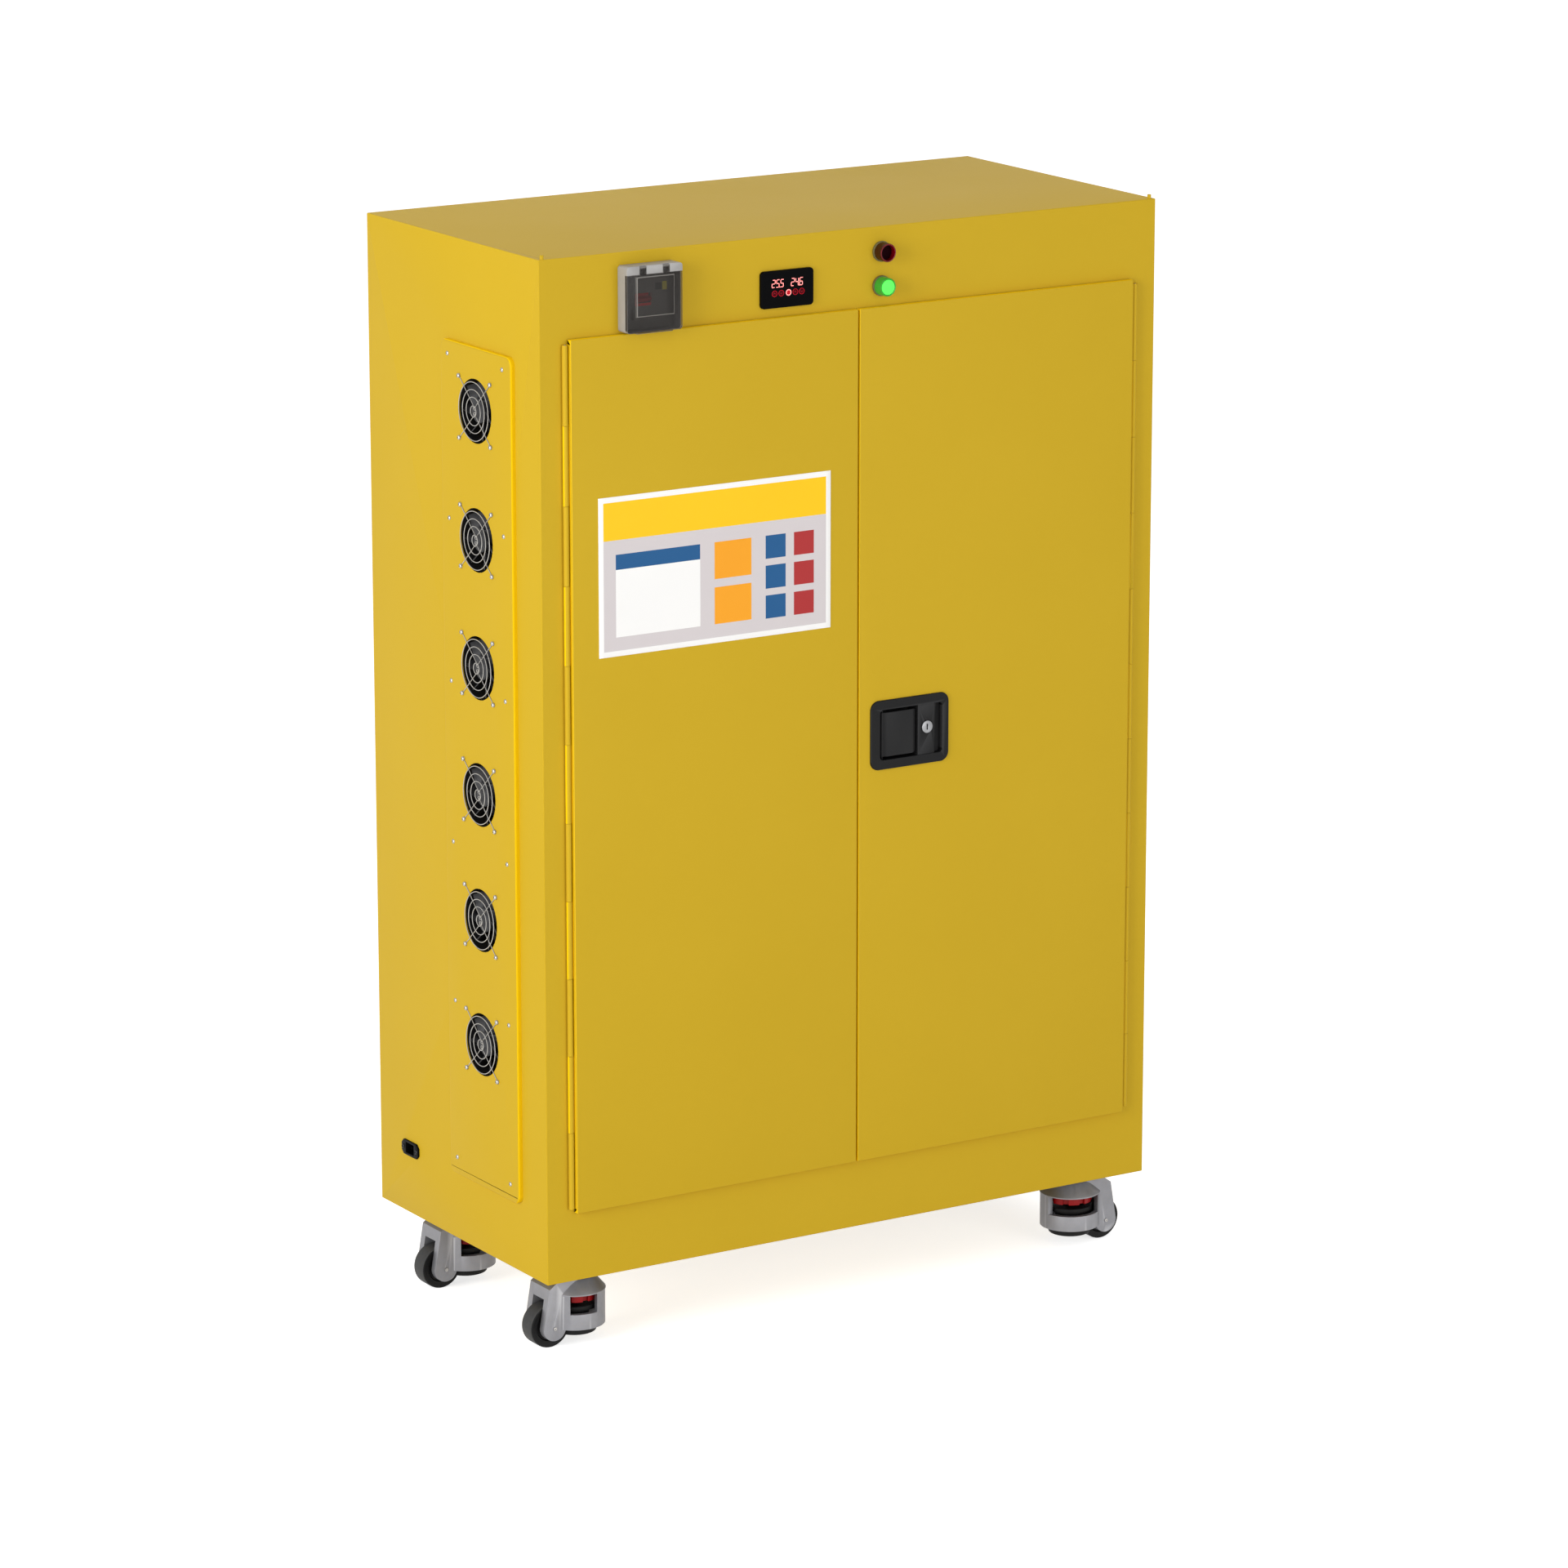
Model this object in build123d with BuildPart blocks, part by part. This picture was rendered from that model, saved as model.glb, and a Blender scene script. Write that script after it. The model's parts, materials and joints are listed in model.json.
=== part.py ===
from build123d import *
from math import atan2, degrees, hypot, radians, sin
import os

# Battery charging cabinet: a double-walled sheet steel cupboard with two doors, a fan bank
# on its left side, indicators and a breaker over the doors, and four levelling casters.
# Millimetres. X runs to the right seen from the front, Y runs into the cabinet and Z up.
# The origin is on the floor, under the middle of the cupboard's body.

# ---- body -------------------------------------------------------------------------------
WIDTH = 1050.0
DEPTH = 500.0
BODY_HEIGHT = 1500.0
FLOOR_CLEARANCE = 117.0
SHEET = 1.2
LINER_SHEET = 1.0
BASE_SHEET = 2.0
FLANGE = 15.0
WALL_GAP = 38.8
LEFT, RIGHT = -WIDTH / 2, WIDTH / 2
FRONT, BACK = -DEPTH / 2, DEPTH / 2
BASE = FLOOR_CLEARANCE
TOP = BASE + BODY_HEIGHT

# ---- doors and their opening ----------------------------------------------------------------
DOOR_WIDTH = 478.5
DOOR_GAP = 3.0
DOOR_BOTTOM = BASE + 104.5
DOOR_HEIGHT = BODY_HEIGHT - 220.5
DOOR_PROUD = 10.0
DOOR_STAND_OFF = 1.5
DOOR_OVERLAP = 10.0
FOLD_R = 1.08
DOOR_TOP = DOOR_BOTTOM + DOOR_HEIGHT
DOOR_FACE = FRONT - DOOR_PROUD
DOOR_REAR = FRONT - DOOR_STAND_OFF
DOOR_EDGE = DOOR_GAP / 2 + DOOR_WIDTH
OPENING_X = DOOR_EDGE - DOOR_OVERLAP
OPENING_BOTTOM = DOOR_BOTTOM + DOOR_OVERLAP
OPENING_TOP = DOOR_TOP - DOOR_OVERLAP
PAN_SIDE_GAP = 2.5
PAN_FREE_INSET = 5.0
SEAL_WIDTH = 9.0
SEAL_THICK = 4.0
SEAL_CLEARANCE = 0.3
JAMB_DEPTH = 46.2
STOP_WIDTH = 12.0
STOP_FRONT = FRONT + JAMB_DEPTH - SHEET
STOP_BACK = FRONT + JAMB_DEPTH
PAN_BACK = STOP_FRONT - SEAL_THICK - SEAL_CLEARANCE

# ---- piano hinges -----------------------------------------------------------------------
KNUCKLE_R = 4.0
HINGE_PIN_R = 1.6
HINGE_FIT = 0.05
HINGE_SET_OUT = 6.5
HINGE_STAND_OFF = 0.3
HINGE_MARGIN = 6.5
KNUCKLE_COUNT = 11
KNUCKLE_GAP = 0.5
LEAF_THICK = 1.2
HINGE_X = DOOR_EDGE + HINGE_SET_OUT
HINGE_Y = FRONT - KNUCKLE_R - HINGE_STAND_OFF
HINGE_BOTTOM = DOOR_BOTTOM + HINGE_MARGIN
HINGE_LENGTH = DOOR_HEIGHT - 2 * HINGE_MARGIN
KNUCKLE_PITCH = HINGE_LENGTH / KNUCKLE_COUNT

# ---- inner liner, shelves and socket strips -------------------------------------------------
LINER_X = WIDTH / 2 - SHEET - WALL_GAP
LINER_BACK = BACK - SHEET - WALL_GAP
LINER_FLOOR = BASE + 100.0
LINER_CEILING = TOP - 114.0
SHELF_COUNT = 3
SHELF_LIP = 25.0
SHELF_FRONT = FRONT + 70.0
SHELF_SIDE_GAP = 2.0
SHELF_BACK_GAP = 12.0
BRACKET_LEG = 20.0
BAY_PITCH = (LINER_CEILING - LINER_FLOOR) / (SHELF_COUNT + 1)
STRIP_LENGTH = 420.0
STRIP_HEIGHT = 58.0
STRIP_DEPTH = 40.0
STRIP_DROP = 75.0
OUTLET_COUNT = 6
OUTLET_SIZE = 44.0
OUTLET_PROUD = 2.0

# ---- fan bank ---------------------------------------------------------------------------
FAN_COUNT = 6
FAN_TOP = TOP - 240.0
FAN_BOTTOM = BASE + 322.5
FAN_PITCH = (FAN_TOP - FAN_BOTTOM) / (FAN_COUNT - 1)
FAN_Y = FRONT + 170.5
FAN_SIZE = 100.0
FAN_DEPTH = 25.0
FAN_BORE_R = 46.7
FAN_HOLE_SPACING = 90.0
FAN_WINDOW_GAP = 1.0
FAN_WALL = 2.0
HUB_R = 18.0
HUB_CLEARANCE = 0.4
BLADE_COUNT = 7
BLADE_TIP_R = 43.4
BLADE_THICK = 1.6
BLADE_CHORD = 19.0
BLADE_TILT = 38.0
SHAFT_R = 3.0
SHAFT_FIT = 0.05
COVER_PROUD = 8.0
COVER_Y = (FAN_Y - 101.0, FAN_Y + 101.0)
COVER_Z = (FAN_BOTTOM - 218.0, FAN_TOP + 91.5)
COVER_CORNER = 13.0
COVER_SCREW_ROWS = 6
COVER_SCREW_EDGES = (26.5, 19.5)
COVER_SCREW_BOTTOM = COVER_Z[0] + COVER_SCREW_EDGES[0]
COVER_SCREW_PITCH = (COVER_Z[1] - COVER_SCREW_EDGES[1] - COVER_SCREW_BOTTOM) / (COVER_SCREW_ROWS - 1)
COVER_SCREW_SPACING = 157.5
COVER_FACE = LEFT - COVER_PROUD
FAN_FACE = COVER_FACE + SHEET
FAN_CENTRES = [FAN_TOP - row * FAN_PITCH for row in range(FAN_COUNT)]
GUARD_WIRE = 1.8
GUARD_RADII = (44.5, 32.5, 20.5, 8.0)
GUARD_EYE_R = 4.4
GUARD_APEX = 5.0
GUARD_APEX_R = 3.2
SCREW_HEAD_R = 3.4
SCREW_HEAD_HEIGHT = 2.2
SCREW_HEAD_CHAMFER = 1.2
SCREW_R = 2.0
SCREW_FIT = 0.2

# ---- mains inlet ------------------------------------------------------------------------
INLET_Y = BACK - 95.0
INLET_Z = BASE + 101.5
INLET_FLANGE = (50.0, 23.0, 3.0)
INLET_BODY = (29.0, 21.0, 24.0)
INLET_RECESS = (24.4, 16.2, 16.0)
INLET_CHAMFER = 6.0
INLET_SCREW_SPACING = 40.0
INLET_PIN = (2.0, 4.0, 9.0)
INLET_PIN_PITCH = 7.0

# ---- indicators over the doors ----------------------------------------------------------------
DISPLAY_X = -118.5
DISPLAY_Z = TOP - 75.5
DISPLAY_SIZE = (88.5, 54.0)
DISPLAY_PROUD = 4.5
DISPLAY_CORNER = 6.0
DISPLAY_ROUNDING = 1.0
DISPLAY_BODY = (80.0, 46.0, 34.0)
PANEL_FIT = 0.3
LAMP_X = 43.0
LAMP_RED_Z = TOP - 36.4
LAMP_GREEN_Z = TOP - 86.4
LAMP_LENS_R = 13.5
LAMP_ROUNDING = 1.4
LAMP_PROUD = 20.0
LAMP_COLLAR_R = 15.0
LAMP_COLLAR_THICK = 4.0
LAMP_BARREL_R = 11.0
LAMP_BARREL_LENGTH = 32.0
LAMP_NUT_R = 15.0
LAMP_NUT_THICK = 4.0

# ---- breaker enclosure -------------------------------------------------------------------
BREAKER_X = LEFT + 173.5
BREAKER_BOX = (91.0, 95.0, 20.0)
BREAKER_BOTTOM = TOP - 113.0
BREAKER_WALL = 2.0
BREAKER_CORNER = 5.0
COVER_LID_THICK = 5.0
LID_GAP = 0.4
LID_WINDOW = (62.0, 57.0, 3.0)
LID_WINDOW_DROP = 15.0
LID_TAB = (59.0, 1.5)
LID_WINDOW_ROUNDING = 1.5
LID_PIN_R = 1.5
LID_FIT = 0.05
LID_AXIS_DROP = 3.2
HEADER_HEIGHT = 12.0
CLIP_WIDTH = 11.0
CLIP_X = 19.0
BREAKER_BODY = (54.0, 62.0)
BREAKER_BODY_DEPTH = 12.0
TOGGLE_SIZE = (24.0, 12.0, 5.0)
TOGGLE_X = BREAKER_X - 12.5
TOGGLE_PIVOT_DEPTH = 1.5
TOGGLE_REACH = 5.5
TOGGLE_DROP = 30.0
TOGGLE_ROOM = 1.0

# ---- latch in the right door -----------------------------------------------------------------
BEZEL_X = (20.5, 156.5)
BEZEL_HEIGHT = 104.0
BEZEL_CORNER = 14.0
BEZEL_PROUD = 3.0
LATCH_Z = BASE + BODY_HEIGHT / 2
RECESS_X = (36.0, 145.0)
RECESS_HEIGHT = 76.0
RECESS_CORNER = 6.0
RECESS_WALL = 1.5
RECESS_DEPTH = 25.0
LOCK_BLOCK_X = (103.0, 132.0)
LEDGE_DEPTH = 6.0
PADDLE_X = (40.0, 101.0)
PADDLE_HEIGHT = 66.0
PADDLE_THICK = 2.5
PADDLE_FOLD = 9.0
PADDLE_FOLD_DROP = 4.0
PADDLE_CORNER = 10.0
PADDLE_PROUD = 2.5
PIVOT_X = 42.5
PIVOT_Y = DOOR_FACE + 2.5
PIVOT_R = 3.2
PIVOT_PIN_R = 1.5
PIVOT_FIT = 0.05
LOCK_X = 119.0
LOCK_Z = LATCH_Z + 3.0
LOCK_R = 9.25
LOCK_FIT = 0.05
LOCK_PROUD = 1.2
KEY_SLOT = (2.4, 9.0, 5.0)
CAM_THICK = 3.0
CAM_BACK = FRONT + 27.0
CAM_PIN_REACH = 14.0
CAM_PIN_R = 2.5
CAM_PIN_CLEARANCE = 0.8
CAM_HALF_WIDTH = 5.5
ROD_R = 4.0
ROD_Y = FRONT + 32.5
ROD_OFFSET = 12.0
ROD_PLATE = (20.0, 3.0, 16.0)
ROD_GUIDE_FIT = 0.3
ROD_TIP_INSET = 2.0
ROD_GUIDE_SIZE = (18.0, 6.0)
ROD_KEEPER_R = 6.5
CAM_START = radians(45.0)
PIN_RISE = CAM_PIN_REACH * sin(CAM_START)

# ---- placard on the left door -----------------------------------------------------------------
PLACARD_SIZE = (388.7, 231.6)
PLACARD_INSET = 42.5
PLACARD_DROP = 230.0
PLACARD_X = (-DOOR_EDGE + PLACARD_INSET, -DOOR_EDGE + PLACARD_INSET + PLACARD_SIZE[0])
PLACARD_Z = (DOOR_TOP - PLACARD_DROP - PLACARD_SIZE[1], DOOR_TOP - PLACARD_DROP)
PLACARD_THICK = 0.8

# ---- stubs on the top ------------------------------------------------------------------------
STUB_R = 2.8
STUB_HEIGHT = 6.0
STUB_INSET = (8.0, 5.0)

# ---- levelling casters ------------------------------------------------------------------------
CASTER_X = WIDTH / 2 - 85.0
CASTER_Y = (FRONT + 71.0, BACK - 104.0)
AXLE_OFFSET = 48.7
WHEEL_R = 32.5
WHEEL_WIDTH = 29.0
WHEEL_EDGE = 4.0
WHEEL_GAP = 1.5
AXLE_R = 4.0
AXLE_FIT = 0.05
FORK_WIDTH = 56.0
FORK_GAP = 31.0
FORK_END_R = 18.5
FORK_TOP_X = 57.0
FORK_TOP_Z = 93.0
FORK_SHOULDER = (46.0, 101.0)
FORK_SLOT_TOP = 76.0
HOUSING_R = 45.5
HOUSING_BORE_R = 38.0
RING_Z = (28.5, 52.0)
WINDOW_TOP = 80.5
CAP_R = 46.5
CAP_STEP = 1.5
CAP_TOP = 101.0
CAP_TOP_R = 30.0
WINDOW_REACH = (14.0, 27.5)
WINDOW_COLUMN = 8.0
BOLT_R = 3.0
BOLT_HEIGHT = 1.5
PLATE_SIZE = 96.0
PLATE_THICK = 5.0
STEM_R = 9.0
STEM_FIT = 0.05
STEM_BOTTOM = 93.0
RACE_R = 26.0
RACE_GAP = 0.5
ADJUSTER_Z = (67.0, 80.0)
ADJUSTER_R = 34.0
ADJUSTER_LOBES = 8
LOBE_GAP = 9.0
LOBE_DEPTH = 5.0
FOOT_Z = (16.5, 27.0)
FOOT_R = 32.5
FOOT_NECK_R = 22.0
FOOT_COLLAR_Z = (54.0, 60.5)
FOOT_COLLAR_R = 34.5
FOOT_STEM_R = 6.0
FOOT_STEM_TOP = 91.0
FOOT_STEM_FIT = 0.05
FOOT_GUIDE_FIT = 0.4
FOOT_ROUNDING = 2.5
FOOT_TRAVEL = FOOT_Z[0]


def middle(pair):
    """The middle of a pair of limits."""
    return (pair[0] + pair[1]) / 2


def block(x, y, z, mode=Mode.ADD):
    """A square-edged block between pairs of limits, in the part being built."""
    with Locations((middle(x), middle(y), middle(z))):
        Box(x[1] - x[0], y[1] - y[0], z[1] - z[0], mode=mode)


def post(x, y, z, radius, mode=Mode.ADD):
    """An upright cylinder between two heights, in the part being built."""
    with Locations((x, y, middle(z))):
        Cylinder(radius, z[1] - z[0], mode=mode)


def along_x(x, y, z, radius, mode=Mode.ADD):
    """A cylinder that lies along X between two limits."""
    with Locations((middle(x), y, z)):
        Cylinder(radius, x[1] - x[0], rotation=(0, 90, 0), mode=mode)


def along_y(x, y, z, radius, mode=Mode.ADD):
    """A cylinder that lies along Y between two limits."""
    with Locations((x, middle(y), z)):
        Cylinder(radius, y[1] - y[0], rotation=(90, 0, 0), mode=mode)


def pan_back(x, z, y, flange, sheet):
    """A sheet that closes y[0] or y[1], with a flange all round that runs to the other."""
    block(x, y, z)
    inner_x, inner_z = (x[0] + sheet, x[1] - sheet), (z[0] + sheet, z[1] - sheet)
    open_y = (y[0] + sheet, y[1]) if flange > 0 else (y[0], y[1] - sheet)
    block(inner_x, open_y, inner_z, Mode.SUBTRACT)


# ==== shell =================================================================================
SHELL_X = (LEFT + SHEET, RIGHT - SHEET)
SHELL_Z = (BASE + BASE_SHEET, TOP - SHEET)

with BuildPart() as left_side_panel:
    block((LEFT, LEFT + SHEET), (FRONT, BACK), SHELL_Z)
    window = FAN_SIZE / 2 + FAN_WINDOW_GAP
    for fan_z in FAN_CENTRES:
        block(
            (LEFT, LEFT + SHEET),
            (FAN_Y - window, FAN_Y + window),
            (fan_z - window, fan_z + window),
            Mode.SUBTRACT,
        )
    block(
        (LEFT, LEFT + SHEET),
        (INLET_Y - INLET_BODY[0] / 2 - PANEL_FIT, INLET_Y + INLET_BODY[0] / 2 + PANEL_FIT),
        (INLET_Z - INLET_BODY[1] / 2 - PANEL_FIT, INLET_Z + INLET_BODY[1] / 2 + PANEL_FIT),
        Mode.SUBTRACT,
    )
left_side_panel.part.label = "left_side_panel"

with BuildPart() as right_side_panel:
    block((RIGHT - SHEET, RIGHT), (FRONT, BACK), SHELL_Z)
right_side_panel.part.label = "right_side_panel"

with BuildPart() as top_panel:
    block((LEFT, RIGHT), (FRONT, BACK), (TOP - SHEET, TOP))
    for side in (-1, 1):
        stub_x = side * (RIGHT - STUB_INSET[0])
        post(stub_x, FRONT + STUB_INSET[1], (TOP, TOP + STUB_HEIGHT), STUB_R)
top_panel.part.label = "top_panel"

with BuildPart() as back_panel:
    pan_back(SHELL_X, SHELL_Z, (BACK - FLANGE, BACK), -1, SHEET)
back_panel.part.label = "back_panel"

with BuildPart() as bottom_pan:
    block((LEFT, RIGHT), (FRONT, BACK), (BASE, BASE + BASE_SHEET))
    for rail_y in CASTER_Y:
        rail = (rail_y - PLATE_SIZE / 2, rail_y + PLATE_SIZE / 2)
        rail_z = (BASE + BASE_SHEET, BASE + BASE_SHEET + FLANGE)
        block((LEFT + FLANGE, RIGHT - FLANGE), rail, rail_z)
        inner = (rail[0] + BASE_SHEET, rail[1] - BASE_SHEET)
        channel = (rail_z[0], rail_z[1] - BASE_SHEET)
        block((LEFT + FLANGE, RIGHT - FLANGE), inner, channel, Mode.SUBTRACT)
bottom_pan.part.label = "bottom_pan"

with BuildPart() as front_frame:
    pan_back(SHELL_X, SHELL_Z, (FRONT, FRONT + FLANGE), 1, SHEET)
    opening = (-OPENING_X, OPENING_X)
    opening_z = (OPENING_BOTTOM, OPENING_TOP)
    block(
        (opening[0] - SHEET, opening[1] + SHEET),
        (FRONT, STOP_FRONT),
        (opening_z[0] - SHEET, opening_z[1] + SHEET),
    )
    block((-LINER_X, LINER_X), (STOP_FRONT, STOP_BACK), (LINER_FLOOR, LINER_CEILING))
    block(opening, (FRONT, STOP_FRONT), opening_z, Mode.SUBTRACT)
    block(
        (opening[0] + STOP_WIDTH, opening[1] - STOP_WIDTH),
        (STOP_FRONT, STOP_BACK),
        (opening_z[0] + STOP_WIDTH, opening_z[1] - STOP_WIDTH),
        Mode.SUBTRACT,
    )
    # cut-outs for the indicators
    half_x, half_z = DISPLAY_BODY[0] / 2 + PANEL_FIT, DISPLAY_BODY[1] / 2 + PANEL_FIT
    block(
        (DISPLAY_X - half_x, DISPLAY_X + half_x),
        (FRONT, FRONT + SHEET),
        (DISPLAY_Z - half_z, DISPLAY_Z + half_z),
        Mode.SUBTRACT,
    )
    for lamp_z in (LAMP_RED_Z, LAMP_GREEN_Z):
        along_y(LAMP_X, (FRONT, FRONT + SHEET), lamp_z, LAMP_BARREL_R + PANEL_FIT, Mode.SUBTRACT)
    # the keepers that the lock rods enter, in the header and in the sill
    post(
        LOCK_X + ROD_OFFSET, ROD_Y, (OPENING_TOP, OPENING_TOP + SHEET), ROD_KEEPER_R,
        Mode.SUBTRACT,
    )
    post(
        LOCK_X - ROD_OFFSET, ROD_Y, (OPENING_BOTTOM - SHEET, OPENING_BOTTOM), ROD_KEEPER_R,
        Mode.SUBTRACT,
    )
front_frame.part.label = "front_frame"

# ==== liner, shelves, sockets ===================================================================
LINER_Y = (STOP_BACK, LINER_BACK)
with BuildPart() as liner_panels:
    for side in (-1, 1):
        outer, inner = side * LINER_X, side * (LINER_X - LINER_SHEET)
        block(sorted((outer, inner)), LINER_Y, (LINER_FLOOR, LINER_CEILING))
    for fan_z in FAN_CENTRES:
        along_x((-LINER_X, -LINER_X + LINER_SHEET), FAN_Y, fan_z, FAN_BORE_R, Mode.SUBTRACT)
    # floor and ceiling, between the two sides
    deck_x = (-LINER_X + LINER_SHEET, LINER_X - LINER_SHEET)
    block(deck_x, LINER_Y, (LINER_FLOOR, LINER_FLOOR + LINER_SHEET))
    block(deck_x, LINER_Y, (LINER_CEILING - LINER_SHEET, LINER_CEILING))
liner_panels.part.label = "liner_panels"

with BuildPart() as back_liner:
    block(
        (-LINER_X, LINER_X), (LINER_BACK, LINER_BACK + LINER_SHEET), (LINER_FLOOR, LINER_CEILING)
    )
    # hat ribs that hold the liner off the back panel
    rib_x = LINER_X / 2
    for rib in (-rib_x, rib_x):
        rib_span = (rib - FLANGE, rib + FLANGE)
        block(rib_span, (LINER_BACK + LINER_SHEET, BACK - SHEET), (LINER_FLOOR, LINER_CEILING))
        block(
            (rib_span[0] + SHEET, rib_span[1] - SHEET),
            (LINER_BACK + LINER_SHEET, BACK - 2 * SHEET),
            (LINER_FLOOR, LINER_CEILING),
            Mode.SUBTRACT,
        )
back_liner.part.label = "back_liner"

SHELF_TOPS = [LINER_FLOOR + BAY_PITCH * (n + 1) for n in range(SHELF_COUNT)]
SHELF_X = LINER_X - LINER_SHEET - SHELF_SIDE_GAP
SHELF_BACK = LINER_BACK - SHELF_BACK_GAP
with BuildPart() as shelves:
    for shelf_top in SHELF_TOPS:
        block((-SHELF_X, SHELF_X), (SHELF_FRONT, SHELF_BACK), (shelf_top - SHELF_LIP, shelf_top))
        block(
            (-SHELF_X, SHELF_X),
            (SHELF_FRONT + SHEET, SHELF_BACK - SHEET),
            (shelf_top - SHELF_LIP, shelf_top - SHEET),
            Mode.SUBTRACT,
        )
shelves.part.label = "shelves"

with BuildPart() as shelf_brackets:
    bracket_y = (SHELF_FRONT + 2 * SHEET, SHELF_BACK - 2 * SHEET)
    for shelf_top in SHELF_TOPS:
        bracket_top = shelf_top - SHEET
        for side in (-1, 1):
            wall = side * (LINER_X - LINER_SHEET)
            leg_x = sorted((wall, wall - side * BRACKET_LEG))
            block(leg_x, bracket_y, (bracket_top - SHEET, bracket_top))
            web_x = sorted((wall, wall - side * SHEET))
            block(web_x, bracket_y, (bracket_top - BRACKET_LEG, bracket_top - SHEET))
shelf_brackets.part.label = "shelf_brackets"

with BuildPart() as socket_strips:
    for bay in range(SHELF_COUNT + 1):
        strip_z = LINER_FLOOR + BAY_PITCH * (bay + 1) - STRIP_DROP
        strip_y = (LINER_BACK - STRIP_DEPTH, LINER_BACK)
        block(
            (-STRIP_LENGTH / 2, STRIP_LENGTH / 2),
            strip_y,
            (strip_z - STRIP_HEIGHT / 2, strip_z + STRIP_HEIGHT / 2),
        )
        outlet_pitch = STRIP_LENGTH / OUTLET_COUNT
        with Locations(Plane.XZ.offset(-strip_y[0])):
            with Locations((0, strip_z)):
                with GridLocations(outlet_pitch, 1, OUTLET_COUNT, 1):
                    Box(
                        OUTLET_SIZE, OUTLET_SIZE, OUTLET_PROUD,
                        align=(Align.CENTER, Align.CENTER, Align.MIN),
                    )
socket_strips.part.label = "socket_strips"

# ==== fan bank ==============================================================================
HALF_HOLES = FAN_HOLE_SPACING / 2
COVER_SCREWS = [
    (FAN_Y + side * COVER_SCREW_SPACING / 2, COVER_SCREW_BOTTOM + row * COVER_SCREW_PITCH)
    for row in range(COVER_SCREW_ROWS)
    for side in (-1, 1)
]
GUARD_SCREWS = [
    (FAN_Y + sy * HALF_HOLES, fan_z + sz * HALF_HOLES)
    for fan_z in FAN_CENTRES
    for sy in (-1, 1)
    for sz in (-1, 1)
]

with BuildPart() as fan_cover:
    # on this plane local x runs towards the back and local y up, and it faces outwards
    face_plane = Plane(origin=(LEFT, 0, 0), x_dir=(0, -1, 0), z_dir=(-1, 0, 0))
    with BuildSketch(face_plane):
        with Locations((-middle(COVER_Y), middle(COVER_Z))):
            RectangleRounded(COVER_Y[1] - COVER_Y[0], COVER_Z[1] - COVER_Z[0], COVER_CORNER)
    extrude(amount=COVER_PROUD)
    with BuildSketch(face_plane):
        with Locations((-middle(COVER_Y), middle(COVER_Z))):
            RectangleRounded(
                COVER_Y[1] - COVER_Y[0] - 2 * SHEET,
                COVER_Z[1] - COVER_Z[0] - 2 * SHEET,
                COVER_CORNER - SHEET,
            )
    extrude(amount=COVER_PROUD - SHEET, mode=Mode.SUBTRACT)
    for fan_z in FAN_CENTRES:
        along_x((COVER_FACE, FAN_FACE), FAN_Y, fan_z, FAN_BORE_R, Mode.SUBTRACT)
fan_cover.part.label = "fan_cover"

with BuildPart() as fan_frames:
    motor_back = FAN_FACE + FAN_DEPTH
    for fan_z in FAN_CENTRES:
        half = FAN_SIZE / 2
        block((FAN_FACE, motor_back), (FAN_Y - half, FAN_Y + half), (fan_z - half, fan_z + half))
        along_x((FAN_FACE, motor_back), FAN_Y, fan_z, FAN_BORE_R, Mode.SUBTRACT)
        # motor plate on two struts at the inner side, with the shaft that carries the rotor
        plate_x = (motor_back - 2 * FAN_WALL, motor_back)
        along_x(plate_x, FAN_Y, fan_z, HUB_R)
        strut = FAN_BORE_R + FAN_WALL / 2
        block(plate_x, (FAN_Y - strut, FAN_Y + strut), (fan_z - FAN_WALL, fan_z + FAN_WALL))
        block(plate_x, (FAN_Y - FAN_WALL, FAN_Y + FAN_WALL), (fan_z - strut, fan_z + strut))
        along_x((FAN_FACE + 2 * FAN_WALL, plate_x[0]), FAN_Y, fan_z, SHAFT_R)
fan_frames.part.label = "fan_frames"

fan_rotors = []
for number, fan_z in enumerate(FAN_CENTRES, start=1):
    with BuildPart() as fan_rotor:
        hub_x = (FAN_FACE + FAN_WALL, motor_back - 2 * FAN_WALL - HUB_CLEARANCE)
        blade_plane = Plane(origin=(middle(hub_x), FAN_Y, fan_z), x_dir=(1, 0, 0), z_dir=(0, 0, 1))
        with BuildSketch(blade_plane.offset(HUB_R - FAN_WALL)):
            Rectangle(BLADE_CHORD, BLADE_THICK, rotation=BLADE_TILT)
        extrude(amount=BLADE_TIP_R - HUB_R + FAN_WALL)
        blade = fan_rotor.part
        for step in range(1, BLADE_COUNT):
            hub_line = Axis((0, FAN_Y, fan_z), (1, 0, 0))
            add(blade.rotate(hub_line, 360.0 * step / BLADE_COUNT))
        along_x(hub_x, FAN_Y, fan_z, HUB_R)
        bore_x = (FAN_FACE + 2 * FAN_WALL - HUB_CLEARANCE, hub_x[1])
        along_x(bore_x, FAN_Y, fan_z, SHAFT_R + SHAFT_FIT, Mode.SUBTRACT)
    fan_rotor.part.label = f"fan_rotor_{number}"
    fan_rotors.append(fan_rotor)

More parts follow.
